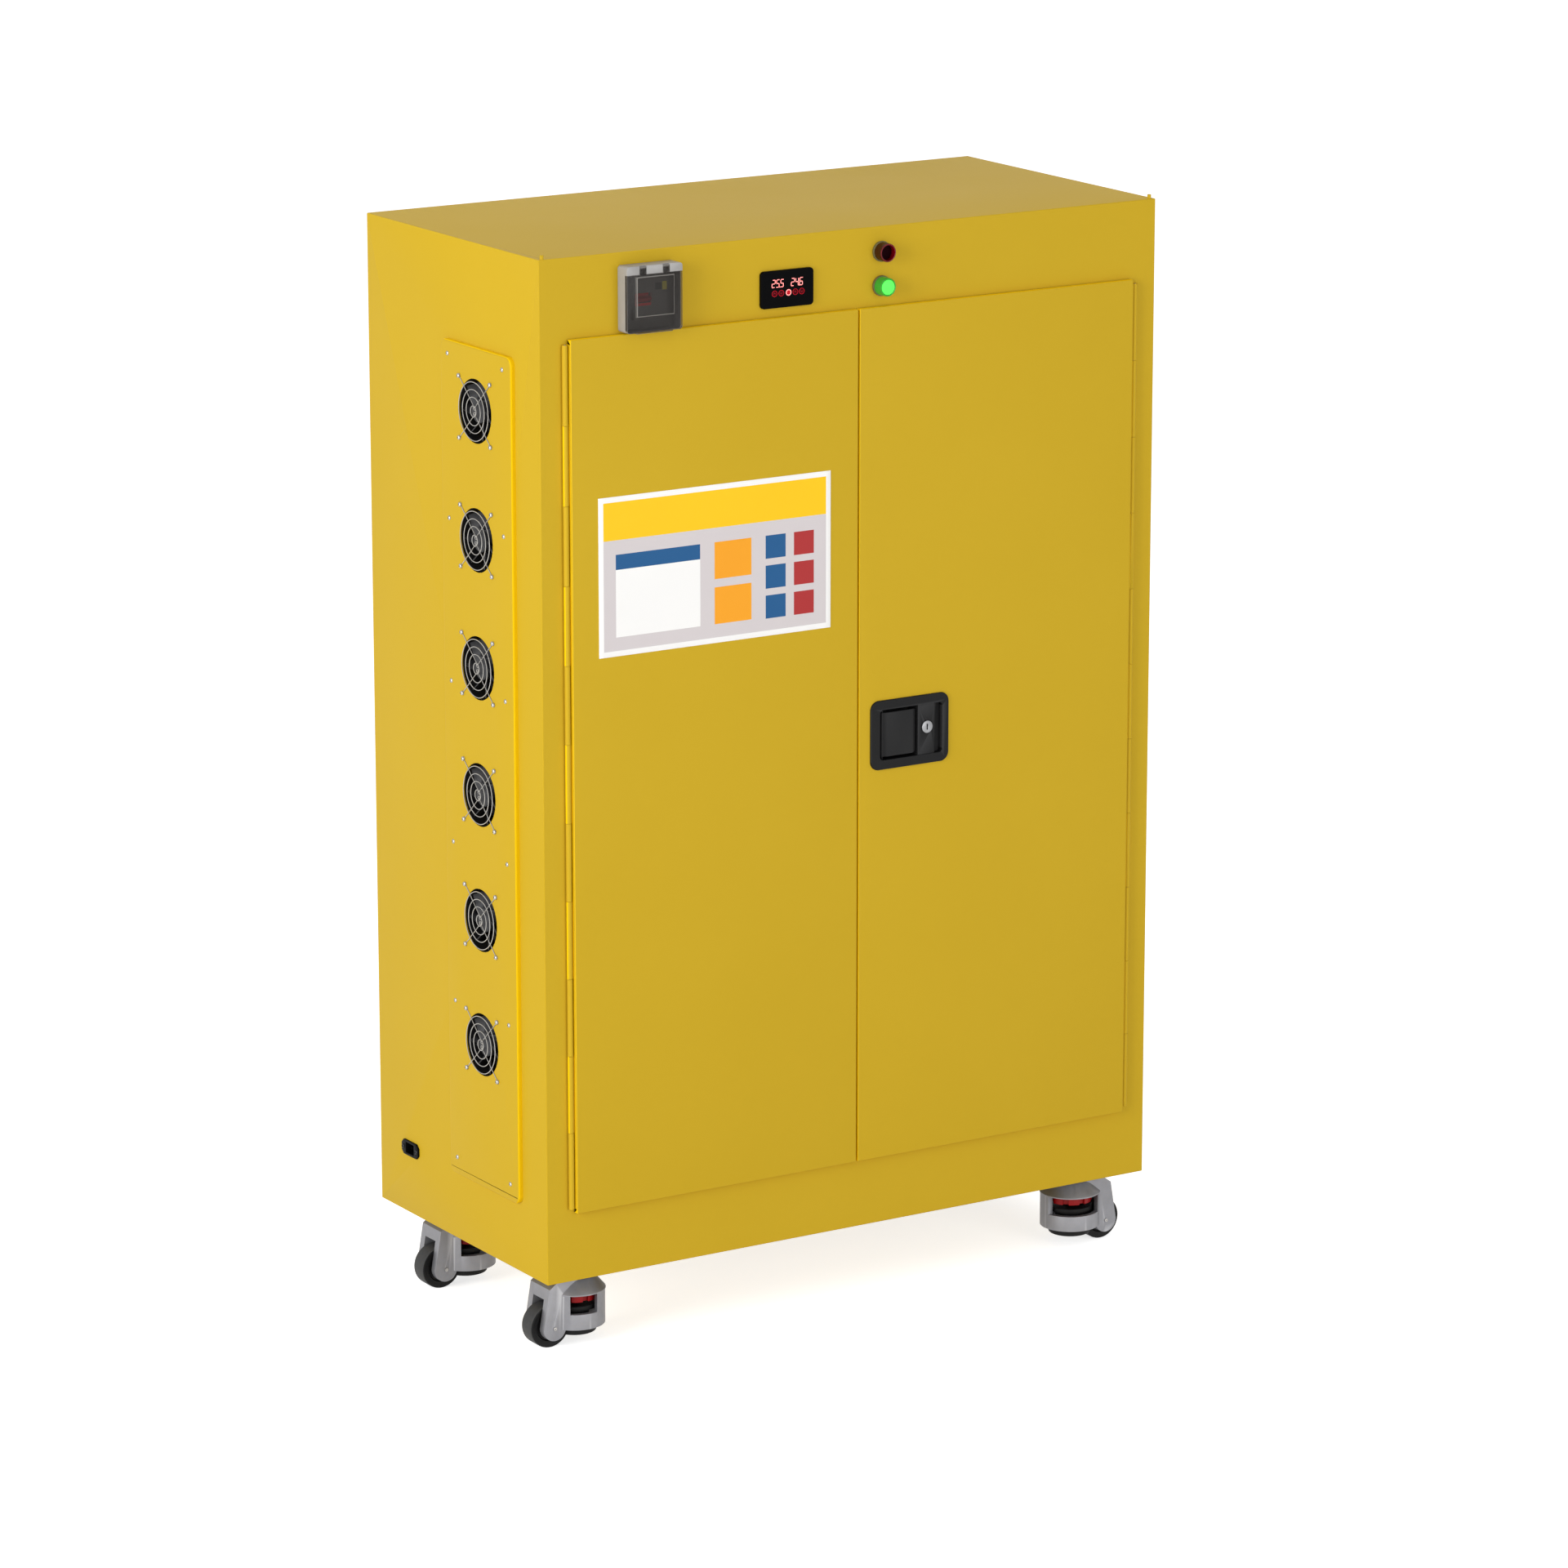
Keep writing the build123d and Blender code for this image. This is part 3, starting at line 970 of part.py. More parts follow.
caster_parts = []
for name, x, y, side in CASTERS:
    axle_x = x + side * AXLE_OFFSET
    with BuildPart() as housing:
        post(x, y, (RING_Z[0], WINDOW_TOP), HOUSING_R)
        with BuildSketch(Plane(origin=(x, y, 0), x_dir=(1, 0, 0), z_dir=(0, -1, 0))):
            Polygon(
                (0, WINDOW_TOP),
                (CAP_R, WINDOW_TOP),
                (CAP_R, WINDOW_TOP + CAP_STEP),
                (CAP_TOP_R, CAP_TOP),
                (0, CAP_TOP),
                align=None,
            )
        revolve(axis=Axis((x, y, 0), (0, 0, 1)))
        # fork: one side profile, drawn towards the wheel, as wide as both arms
        with BuildSketch(Plane.XZ.offset(-y + FORK_WIDTH / 2)) as arm:
            with BuildLine():
                Polyline(
                    (x, CAP_TOP),
                    (x + side * FORK_SHOULDER[0], FORK_SHOULDER[1]),
                    (x + side * FORK_TOP_X, FORK_TOP_Z),
                    (axle_x + side * FORK_END_R, WHEEL_R),
                )
                ThreePointArc(
                    (axle_x + side * FORK_END_R, WHEEL_R),
                    (axle_x, WHEEL_R - FORK_END_R),
                    (axle_x - side * FORK_END_R, WHEEL_R),
                )
                Polyline(
                    (axle_x - side * FORK_END_R, WHEEL_R),
                    (axle_x - side * FORK_END_R, RING_Z[1]),
                    (x, RING_Z[1]),
                    (x, CAP_TOP),
                )
            make_face()
        extrude(amount=-FORK_WIDTH)
        # the wheel's slot between the arms, and the hollow for the adjuster and the foot
        wheel_room = WHEEL_R + WHEEL_GAP
        slot_x = sorted((axle_x + side * wheel_room, axle_x - side * wheel_room))
        slot_y = (y - FORK_GAP / 2, y + FORK_GAP / 2)
        block(slot_x, slot_y, (0, FORK_SLOT_TOP), Mode.SUBTRACT)
        post(x, y, (RING_Z[0], WINDOW_TOP), HOUSING_BORE_R, Mode.SUBTRACT)
        # windows to the front and the rear, from the fork's wall towards the far column
        # one window ends short of the middle, and the other runs round to the far column
        for facing, reach in ((side, WINDOW_REACH[0]), (-side, CAP_R)):
            window_x = sorted((x - side * reach, x + side * WINDOW_REACH[1]))
            window_y = sorted((y + facing * WINDOW_COLUMN, y + facing * CAP_R))
            block(window_x, window_y, (RING_Z[1], WINDOW_TOP), Mode.SUBTRACT)
        bore_floor = STEM_BOTTOM - RACE_GAP
        post(x, y, (bore_floor, CAP_TOP), STEM_R + STEM_FIT, Mode.SUBTRACT)
        post(x, y, (WINDOW_TOP, bore_floor), FOOT_STEM_R + FOOT_GUIDE_FIT, Mode.SUBTRACT)
        # axle with its bolt heads
        half = FORK_WIDTH / 2
        along_y(axle_x, (y - half - BOLT_HEIGHT, y + half + BOLT_HEIGHT), WHEEL_R, BOLT_R)
        along_y(axle_x, (y - half, y + half), WHEEL_R, AXLE_R)
    housing.part.label = f"{name}_caster_housing"

    with BuildPart() as wheel:
        along_y(axle_x, (y - WHEEL_WIDTH / 2, y + WHEEL_WIDTH / 2), WHEEL_R, WHEEL_R)
        fillet(wheel.edges().filter_by(GeomType.CIRCLE), WHEEL_EDGE)
        bore_y = (y - WHEEL_WIDTH / 2, y + WHEEL_WIDTH / 2)
        along_y(axle_x, bore_y, WHEEL_R, AXLE_R + AXLE_FIT, Mode.SUBTRACT)
    wheel.part.label = f"{name}_wheel"

    with BuildPart() as adjuster:
        with BuildSketch(Plane.XY.offset(ADJUSTER_Z[0])):
            with Locations((x, y)):
                Circle(ADJUSTER_R)
                with PolarLocations(ADJUSTER_R, ADJUSTER_LOBES):
                    Rectangle(2 * LOBE_DEPTH, LOBE_GAP, mode=Mode.SUBTRACT)
                Circle(FOOT_STEM_R + FOOT_STEM_FIT, mode=Mode.SUBTRACT)
        extrude(amount=ADJUSTER_Z[1] - ADJUSTER_Z[0])
    adjuster.part.label = f"{name}_adjuster"

    with BuildPart() as foot:
        post(x, y, FOOT_Z, FOOT_R)
        fillet(foot.edges().group_by(Axis.Z)[0], FOOT_ROUNDING)
        post(x, y, (FOOT_Z[1], FOOT_COLLAR_Z[0]), FOOT_NECK_R)
        post(x, y, FOOT_COLLAR_Z, FOOT_COLLAR_R)
        # the side next to the wheel is hollowed to its curve, over the whole travel
        notch_y = (y - FORK_GAP / 2, y + FORK_GAP / 2)
        raised = WHEEL_R + FOOT_TRAVEL
        along_y(axle_x, notch_y, WHEEL_R, wheel_room, Mode.SUBTRACT)
        along_y(axle_x, notch_y, raised, wheel_room, Mode.SUBTRACT)
        block(slot_x, notch_y, (WHEEL_R, raised), Mode.SUBTRACT)
        post(x, y, (FOOT_Z[1], FOOT_STEM_TOP), FOOT_STEM_R)
    foot.part.label = f"{name}_foot"
    caster_parts += [housing, wheel, adjuster, foot]

# ==== write every piece =========================================================================
os.makedirs("parts", exist_ok=True)
pieces = [
    left_side_panel, right_side_panel, top_panel, back_panel, bottom_pan, front_frame,
    liner_panels, back_liner, shelves, shelf_brackets, socket_strips,
    fan_cover, fan_frames, *fan_rotors, finger_guards, side_screws, power_inlet,
    display_module, lamp_collars, *lamp_lenses,
    breaker_base, breaker_cover, circuit_breaker, breaker_toggle,
    hinge_pins, frame_hinge_leaves, *door_skins, *door_inners, door_seal, placard,
    latch_bezel, latch_paddle, lock_cylinder, *lock_rods,
    caster_plates, *caster_parts,
]
for piece in pieces:
    export_step(piece.part, f"parts/{piece.part.label}.step")
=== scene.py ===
import json
from math import cos, pi, radians, sin

import bmesh
import bpy
from mathutils import Matrix, Vector


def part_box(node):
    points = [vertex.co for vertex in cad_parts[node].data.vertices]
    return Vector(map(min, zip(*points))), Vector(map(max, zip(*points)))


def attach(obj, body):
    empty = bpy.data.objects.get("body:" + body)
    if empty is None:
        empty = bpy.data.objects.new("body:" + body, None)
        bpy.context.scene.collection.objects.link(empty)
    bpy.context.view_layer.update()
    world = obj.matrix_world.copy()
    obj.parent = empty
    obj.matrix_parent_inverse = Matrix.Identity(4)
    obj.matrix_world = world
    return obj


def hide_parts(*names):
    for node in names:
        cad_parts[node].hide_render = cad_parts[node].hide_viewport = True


# Battery charging cabinet: powder coated sheet steel, a bank of guarded fans, indicators and a
# breaker over the doors, a black paddle latch, and levelling casters. Metres, as the frame is.

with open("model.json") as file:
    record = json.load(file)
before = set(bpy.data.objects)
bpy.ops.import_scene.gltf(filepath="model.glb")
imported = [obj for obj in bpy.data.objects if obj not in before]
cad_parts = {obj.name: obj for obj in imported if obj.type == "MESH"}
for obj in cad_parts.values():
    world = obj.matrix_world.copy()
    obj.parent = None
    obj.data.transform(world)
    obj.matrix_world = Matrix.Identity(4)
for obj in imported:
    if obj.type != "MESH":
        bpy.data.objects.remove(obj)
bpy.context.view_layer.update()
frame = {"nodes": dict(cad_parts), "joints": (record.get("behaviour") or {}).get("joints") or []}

MM = 0.001
X, Y, Z = Vector((1, 0, 0)), Vector((0, 1, 0)), Vector((0, 0, 1))
CORNERS = ("front_left", "front_right", "rear_left", "rear_right")
PIVOTS = {j["name"]: Vector(j["pos_m"]) for j in frame["joints"] if "pos_m" in j}
FANS = [name for name in sorted(frame["nodes"]) if name.startswith("fan_rotor")]


# ==== finishes ================================================================================
def linear(hex_colour):
    """An sRGB hex colour as linear red, green and blue, with an alpha of one."""
    shares = [int(hex_colour[at : at + 2], 16) / 255 for at in (1, 3, 5)]
    return (*(s / 12.92 if s <= 0.04045 else ((s + 0.055) / 1.055) ** 2.4 for s in shares), 1.0)


def add(material, kind, settings=None, links=None):
    """Adds a node to a material, with its settings and with its inputs' values or links."""
    node = material.node_tree.nodes.new("ShaderNode" + kind)
    for name, value in (settings or {}).items():
        setattr(node, name, value)
    for name, value in (links or {}).items():
        if isinstance(value, bpy.types.NodeSocket):
            material.node_tree.links.new(value, node.inputs[name])
        else:
            node.inputs[name].default_value = value
    return node


# the Mix node's sockets that carry a colour
MIX_A, MIX_B, MIX_OUT = 6, 7, 2


def finish(name, colours, patch, roughness, grain, relief, wear_and_sheen=None, **uniform):
    """A finish with two close colours in soft patches, gloss that varies with them, and a grain
    that stands in relief. Patch, grain and relief are in millimetres. A wear-and-sheen colour
    shows where the surface is most convex: real wear on some finishes, a painted sheen on others.
    Everything else is the same all over."""
    material = bpy.data.materials.new(name)
    material.use_nodes = True
    tree, shader = material.node_tree, material.node_tree.nodes["Principled BSDF"]
    place = add(material, "TexCoord").outputs["Object"]
    patches = add(
        material, "TexNoise", {}, {"Vector": place, "Scale": 1 / (patch * MM), "Detail": 3.0}
    ).outputs["Fac"]
    mottled = add(
        material,
        "Mix",
        {"data_type": "RGBA"},
        {"Factor": patches, MIX_A: linear(colours[0]), MIX_B: linear(colours[1])},
    ).outputs[MIX_OUT]
    # the convex tint: real wear on some finishes, a painted sheen on the latch
    if wear_and_sheen:
        convex = add(material, "NewGeometry").outputs["Pointiness"]
        wear_and_sheen_mask = add(
            material, "MapRange", {}, {"Value": convex, "From Min": 0.52, "From Max": 0.62}
        ).outputs["Result"]
        mottled = add(
            material,
            "Mix",
            {"data_type": "RGBA"},
            {"Factor": wear_and_sheen_mask, MIX_A: mottled, MIX_B: linear(wear_and_sheen)},
        ).outputs[MIX_OUT]
    tree.links.new(mottled, shader.inputs["Base Color"])
    gloss = add(
        material,
        "MapRange",
        {},
        {"Value": patches, "To Min": roughness[0], "To Max": roughness[1]},
    ).outputs["Result"]
    tree.links.new(gloss, shader.inputs["Roughness"])
    speckle = add(
        material, "TexNoise", {}, {"Vector": place, "Scale": 1 / (grain * MM), "Detail": 2.0}
    ).outputs["Fac"]
    bump = add(
        material, "Bump", {}, {"Strength": 0.6, "Distance": relief * MM, "Height": speckle}
    ).outputs["Normal"]
    tree.links.new(bump, shader.inputs["Normal"])
    for socket, value in uniform.items():
        shader.inputs[socket.replace("_", " ")].default_value = value
    return material


# Powder coat, sprayed and stoved: an even yellow with a soft sheen and a faint orange peel,
# whose real pitch of 1.5 mm is drawn at 3 mm so that it shows.
powder_coat = finish(
    "powder_coat_sprayed", ("#C5A324", "#C19F20"), 260, (0.5, 0.56), 3.0, 0.03,
    Specular_IOR_Level=0.1,
)
# Returns and rims in a brighter, deeper yellow: a painted highlight where the rounded folds catch
# the light.
edge_highlight_paint = finish(
    "powder_coat_edge", ("#EFC70E", "#EAC10A"), 260, (0.5, 0.56), 3.0, 0.03,
    Specular_IOR_Level=0.05,
)
# The same powder on the inside, where the spray reaches it thinner and leaves it duller.
inner_coat = finish(
    "powder_coat_inner", ("#BB9A20", "#B2921C"), 180, (0.56, 0.64), 3.0, 0.05,
    Specular_IOR_Level=0.1,
)
# Zinc plate on rolled steel: a cool grey shine with the plating bath's cloudy patches.
zinc_plate = finish(
    "zinc_plate_passivated", ("#B4B7BA", "#9EA1A6"), 22, (0.32, 0.46), 1.2, 0.02, Metallic=1.0
)
# Bright nickel on drawn wire and on screw heads: paler and glossier than zinc.
nickel_plate = finish(
    "nickel_plate_bright", ("#B3B0AA", "#A5A29D"), 9, (0.3, 0.4), 0.8, 0.01, Metallic=1.0
)
# Chrome on the turned face of the lock: a mid grey mirror with fine turning marks.
chrome_plate = finish(
    "chrome_plate_turned", ("#949496", "#868789"), 6, (0.26, 0.36), 0.5, 0.01, Metallic=1.0
)
# Die cast aluminium, tumbled: a grey skin with a sandy grain, rubbed bright along its edges.
cast_aluminium = finish(
    "aluminium_die_cast", ("#8D8D91", "#828286"), 14, (0.46, 0.6), 1.4, 0.08,
    wear_and_sheen="#A9A9AC", Metallic=0.8,
)
# ABS moulded against a spark-eroded tool: near black with a fine even texture.
black_moulding = finish(
    "abs_black_moulded", ("#19191A", "#121213"), 30, (0.42, 0.52), 0.9, 0.03,
    Specular_IOR_Level=0.35,
)
# Glass-filled nylon, moulded: a satin black, with a painted pale sheen along its edges.
latch_moulding = finish(
    "nylon_glass_filled", ("#0E0E0F", "#0B0B0C"), 24, (0.48, 0.56), 1.0, 0.04,
    wear_and_sheen="#2A2A2B", Specular_IOR_Level=0.16,
)
# Acrylic over black print, with a scratch-proof film: deep black with a satin gloss.
display_glass = finish(
    "acrylic_back_printed", ("#030304", "#040405"), 40, (0.3, 0.36), 5.0, 0.002,
    Specular_IOR_Level=0.03,
)
# Grey polycarbonate, moulded: a milky light grey that lets a little light through.
grey_moulding = finish(
    "polycarbonate_grey_moulded", ("#A6A4A2", "#9A9896"), 26, (0.3, 0.4), 1.2, 0.02,
    Alpha=0.88,
)
# White ABS of the socket strips, with the slight warmth of a flame-proofed grade.
white_moulding = finish(
    "abs_white_moulded", ("#E4E2DA", "#DCD9CF"), 40, (0.34, 0.42), 1.0, 0.02
)
# Smoked polycarbonate, moulded: clear, with a dark tint and a hard gloss.
smoked_moulding = finish(
    "polycarbonate_smoked", ("#35312E", "#2F2C29"), 30, (0.2, 0.28), 4.0, 0.01,
    Alpha=0.4, Specular_IOR_Level=0.25,
)
# The lid's rounded edges, which gather the light and look paler than its flats.
smoked_edge = finish(
    "polycarbonate_smoked_edge", ("#8A8681", "#827E79"), 30, (0.2, 0.28), 4.0, 0.01,
    Alpha=0.7, Specular_IOR_Level=0.3,
)
# Talc-filled polypropylene of the fan's rotor: a charcoal that shows each blade's turn.
rotor_moulding = finish(
    "polypropylene_rotor", ("#303032", "#29292B"), 12, (0.44, 0.54), 0.9, 0.02,
    Specular_IOR_Level=0.35,
)
# Frosted polycarbonate of the lamps' collars: a dull grey with the yellow of the paint behind it
# painted in as painted light.
collar_moulding = finish(
    "polycarbonate_frosted", ("#6A6238", "#605930"), 10, (0.4, 0.5), 1.0, 0.02, Alpha=0.9
)
# Urea moulding of the breaker's body: a warm dark grey, duller than the rest. The same grey
# stands as painted shade in the base's cavity.
breaker_grey_and_cavity_shade = finish(
    "urea_breaker_body", ("#5C5855", "#54504D"), 20, (0.5, 0.6), 1.0, 0.02,
    Specular_IOR_Level=0.3,
)
# Silk-screened ink on the breaker's face: a flat olive that lost some of its yellow to heat.
olive_print = finish(
    "ink_screened_olive", ("#B5A93A", "#A89D33"), 12, (0.5, 0.6), 1.0, 0.01,
    Specular_IOR_Level=0.2,
)
# Screened red round the breaker's toggle: clearer than the moulded red beside it.
red_print = finish(
    "ink_screened_red", ("#C8161C", "#BC1218"), 12, (0.5, 0.6), 1.0, 0.01,
    Specular_IOR_Level=0.2,
)
# Red ABS, moulded: the levelling dial and the breaker's toggle.
red_moulding = finish(
    "abs_red_moulded", ("#98080E", "#86060B"), 12, (0.36, 0.46), 1.0, 0.03,
    Specular_IOR_Level=0.25,
)
# Ruby acrylic of the unlit lamp: clear red at its edge, with painted shade where it is deep.
ruby_acrylic = finish(
    "acrylic_ruby", ("#78000E", "#5C000C"), 10, (0.2, 0.28), 3.0, 0.01,
    Specular_IOR_Level=0.25,
)
# The floor of the unlit lamp's deep cup, painted near black: painted shade in its depth, where
# the ruby acrylic has no light behind it.
unlit_cup_shade = finish(
    "acrylic_ruby_depth", ("#1E0005", "#160004"), 8, (0.4, 0.5), 1.0, 0.01,
    Specular_IOR_Level=0.02,
)
# The ruby lens seen from its side, painted brown: painted light, the yellow of the paint behind
# it seen through the red.
ruby_side_painted_light = finish(
    "acrylic_ruby_side", ("#3C1E08", "#341A06"), 8, (0.3, 0.4), 1.0, 0.01,
    Specular_IOR_Level=0.15,
)
# ABS moulded over a steel insert for the mains inlet: a dead black that hardly shines.
inlet_moulding = finish(
    "abs_inlet_moulded", ("#060606", "#040404"), 12, (0.4, 0.5), 0.9, 0.02,
    Specular_IOR_Level=0.06,
)
# Black oxide on the inlet's two screws: dark steel with a faint oily shine.
black_oxide = finish(
    "steel_black_oxide", ("#3A3A3C", "#303032"), 4, (0.3, 0.4), 0.6, 0.01, Metallic=1.0
)
# Green acrylic with the lamp lit behind it: bright at the face and deeper round the side.
green_acrylic = finish(
    "acrylic_green", ("#2F8A2A", "#267A22"), 10, (0.2, 0.28), 3.0, 0.01,
    Specular_IOR_Level=0.25, Emission_Color=linear("#3FA030"), Emission_Strength=0.25,
)
# The lit diffuser behind the green lens.
lit_diffuser = finish(
    "diffuser_lit_green", ("#55F555", "#4BEF4B"), 8, (0.3, 0.4), 1.0, 0.01,
    Emission_Color=linear("#34EE34"), Emission_Strength=0.8,
)
# EPDM rubber of the door seal: dull black with a dusty bloom.
seal_rubber = finish(
    "rubber_epdm", ("#1D1D1D", "#262626"), 18, (0.7, 0.85), 1.5, 0.05
)
# Nylon tread of the casters, turned: dark grey, scuffed paler where it runs.
tread_nylon = finish(
    "nylon_tread_turned", ("#363636", "#2F2F2F"), 9, (0.54, 0.68), 1.6, 0.08,
    wear_and_sheen="#404040", Specular_IOR_Level=0.3,
)
# Polypropylene of the wheel's core and of the foot: darker and smoother than the tread.
core_moulding = finish(
    "polypropylene_moulded", ("#0E0E0E", "#0A0A0A"), 16, (0.44, 0.56), 1.2, 0.03,
    Specular_IOR_Level=0.18,
)
# Printed vinyl, laminated: flat colours under one soft satin film.
VINYL = {
    ink: finish(
        f"vinyl_{ink}", (first, second), 120, (0.32, 0.38), 2.0, 0.01, Specular_IOR_Level=0.25
    )
    for ink, first, second in (
        ("white", "#F1F0EE", "#ECEBE9"),
        ("yellow", "#F5C402", "#F2C001"),
        ("grey", "#CFC8C9", "#CAC3C4"),
        ("blue", "#0F5488", "#0D4F82"),
        ("red", "#A92A2B", "#A32526"),
        ("orange", "#F0A01A", "#EC9B15"),
    )
}
# Light-emitting segments of the display, and the key that is lit, seen through the acrylic.
led_red = finish(
    "led_red_segment", ("#FF8A84", "#FF928C"), 4, (0.2, 0.3), 1.0, 0.005,
    Emission_Color=linear("#FF8A86"), Emission_Strength=1.1,
)
# The rings and marks of the other keys, lit low: a deep red with a little glow.
led_dim = finish(
    "led_red_dim", ("#A80C1C", "#980A18"), 4, (0.2, 0.3), 1.0, 0.005,
    Specular_IOR_Level=0.1, Emission_Color=linear("#C01428"), Emission_Strength=0.35,
)
# The middle of a key, where its light is off and only the rings' light bleeds in.
led_idle = finish(
    "led_red_idle", ("#4A000A", "#3C0008"), 4, (0.3, 0.4), 1.0, 0.005, Specular_IOR_Level=0.05
)

FINISHES = {
    "painted_body": powder_coat,
    "painted_inside": inner_coat,
    "zinc_steel": zinc_plate,
    "chrome": chrome_plate,
    "cast_aluminium": cast_aluminium,
    "black_plastic": black_moulding,
    "latch_plastic": latch_moulding,
    "display_plastic": display_glass,
    "grey_plastic": grey_moulding,
    "white_plastic": white_moulding,
    "smoked_lid": smoked_moulding,
    "red_plastic": red_moulding,
    "red_lens": ruby_acrylic,
    "green_lens": green_acrylic,
    "seal_rubber": seal_rubber,
    "wheel_rubber": core_moulding,
    "placard_print": VINYL["white"],
}
for node in frame["nodes"].values():
    for place in node.material_slots:
        place.material = FINISHES[place.material.name]


# ==== making pieces ===========================================================================
SHARP_OVER, SMOOTH_UNDER = radians(35), radians(32)
MERGE, WELD, FLAT_WITHIN = 0.002 * MM, 0.005 * MM, radians(0.5)


def deselect():
    """Leaves object mode with nothing selected, so that what comes next is shaped alone."""
    if bpy.context.object and bpy.context.object.mode != "OBJECT":
        bpy.ops.object.mode_set(mode="OBJECT")
    bpy.ops.object.select_all(action="DESELECT")


def take(piece, edit=False):
    """Selects one piece alone and makes it the active one, in edit mode if asked."""
    deselect()
    piece.select_set(True)
    bpy.context.view_layer.objects.active = piece
    if edit:
        bpy.ops.object.mode_set(mode="EDIT")
        bpy.ops.mesh.select_all(action="SELECT")


def cut(axis, lines):
    """Cuts the whole of the mesh in hand along planes square to an axis, and keeps all of it."""
    for line in lines:
        bpy.ops.mesh.select_all(action="SELECT")
        bpy.ops.mesh.bisect(plane_co=axis * line, plane_no=axis)


def pick(test, kind="faces"):
    """Selects, in edit mode, the faces, edges or vertices that pass a test."""
    bpy.ops.mesh.select_all(action="DESELECT")
    mode = {"faces": "FACE", "edges": "EDGE", "verts": "VERT"}[kind]
    bpy.ops.mesh.select_mode(type=mode)
    shape = bmesh.from_edit_mesh(bpy.context.object.data)
    for part in getattr(shape, kind):
        if test(part):
            part.select_set(True)
    shape.select_flush_mode()
    bmesh.update_edit_mesh(bpy.context.object.data)


def middle_of(edge):
    return (edge.verts[0].co + edge.verts[1].co) / 2


def sharp(edge):
    """Whether an edge joins two faces that turn by a wide angle."""
    return len(edge.link_faces) == 2 and edge.calc_face_angle() > SHARP_OVER


def settle(piece, name, body, material=None, nodes=()):
    """Names a finished piece, puts its place in its mesh, and ties it to the frame."""
    take(piece)
    bpy.ops.object.transform_apply(location=True, rotation=True, scale=True)
    bpy.ops.object.shade_smooth_by_angle(angle=SMOOTH_UNDER)
    piece.name = name
    if material:
        piece.data.materials.clear()
        piece.data.materials.append(material)
    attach(piece, body)
    if nodes:
        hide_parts(*nodes)
    return piece


def softened(node, body, width, where=lambda edge: True, steps=3, material=None):
    """Stands a copy of a CAD node in its place, with its sharp edges rounded by a small width."""
    piece = bpy.data.objects.new(node, frame["nodes"][node].data.copy())
    bpy.context.scene.collection.objects.link(piece)
    take(piece, edit=True)
    bpy.ops.mesh.remove_doubles(threshold=MERGE)
    bpy.ops.mesh.dissolve_limited(angle_limit=FLAT_WITHIN)
    pick(lambda edge: sharp(edge) and where(middle_of(edge)), "edges")
    bpy.ops.mesh.bevel(offset=width * MM, segments=steps, clamp_overlap=True)
    return settle(piece, f"{node}_finished", body, material, (node,))


def turned(points, centre, axis, radial, steps=64):
    """A turned shape: a line of (radius, along) points in millimetres, extruded point by point
    and spun about its axis."""
    deselect()
    bpy.ops.mesh.primitive_plane_add(size=1)
    bpy.ops.object.mode_set(mode="EDIT")
    bpy.ops.mesh.select_mode(type="VERT")
    bpy.ops.mesh.merge(type="CENTER")
    spots = [centre + radial * radius * MM + axis * along * MM for radius, along in points]
    bpy.ops.transform.translate(value=spots[0])
    for before, after in zip(spots, spots[1:]):
        bpy.ops.mesh.extrude_vertices_move(TRANSFORM_OT_translate={"value": after - before})
    bpy.ops.mesh.select_all(action="SELECT")
    bpy.ops.mesh.spin(steps=steps, angle=2 * pi, center=centre, axis=axis)
    bpy.ops.mesh.select_all(action="SELECT")
    bpy.ops.mesh.remove_doubles(threshold=WELD)
    bpy.ops.mesh.normals_make_consistent(inside=False)
    bpy.ops.object.mode_set(mode="OBJECT")
    return bpy.context.object


def copies(piece, shifts):
    """Joins copies of a piece, each with its own mesh, at shifts from the first."""
    made = []
    for shift in shifts:
        twin = bpy.data.objects.new(piece.name, piece.data.copy())
        twin.data.transform(Matrix.Translation(shift))
        bpy.context.scene.collection.objects.link(twin)
        made.append(twin)
    return joined([piece, *made])


def joined(pieces):
    """Joins pieces into the first of them."""
    deselect()
    for piece in pieces:
        piece.select_set(True)
    bpy.context.view_layer.objects.active = pieces[0]
    if len(pieces) > 1:
        bpy.ops.object.join()
    return pieces[0]


def slab(low, high, edge, steps=3):
    """A block between two corners whose edges are rounded by a width in millimetres."""
    deselect()
    bpy.ops.mesh.primitive_cube_add(size=1, location=(low + high) / 2)
    piece = bpy.context.object
    piece.scale = high - low
    bpy.ops.object.transform_apply(location=True, rotation=True, scale=True)
    bpy.ops.object.mode_set(mode="EDIT")
    bpy.ops.mesh.select_all(action="SELECT")
    bpy.ops.mesh.bevel(offset=edge * MM, segments=steps, clamp_overlap=True)
    bpy.ops.object.mode_set(mode="OBJECT")
    return piece


# ==== shell and doors =========================================================================
side_low, side_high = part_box("left_side_panel")
far_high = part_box("right_side_panel")[1]
pan_low, pan_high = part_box("bottom_pan")
sheet_thick = side_high.x - side_low.x
body_low = Vector((side_low.x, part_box("front_frame")[0].y, pan_low.z))
body_high = Vector((far_high.x, pan_high.y, far_high.z + sheet_thick))
NEAR = 0.05 * MM
FOLD, DOOR_FOLD, COVER_FOLD = 1.1, 1.0, 3.4


def on_fold(point):
    """Whether a point is on one of the body's twelve outer edges."""
    planes = [
        min(abs(point[axis] - body_low[axis]), abs(point[axis] - body_high[axis])) < NEAR
        for axis in range(3)
    ]
    return sum(planes) >= 2


for panel in ("left_side_panel", "right_side_panel", "top_panel", "bottom_pan", "back_panel"):
    softened(panel, "cabinet", FOLD, on_fold)

SIDEWAYS = 0.6


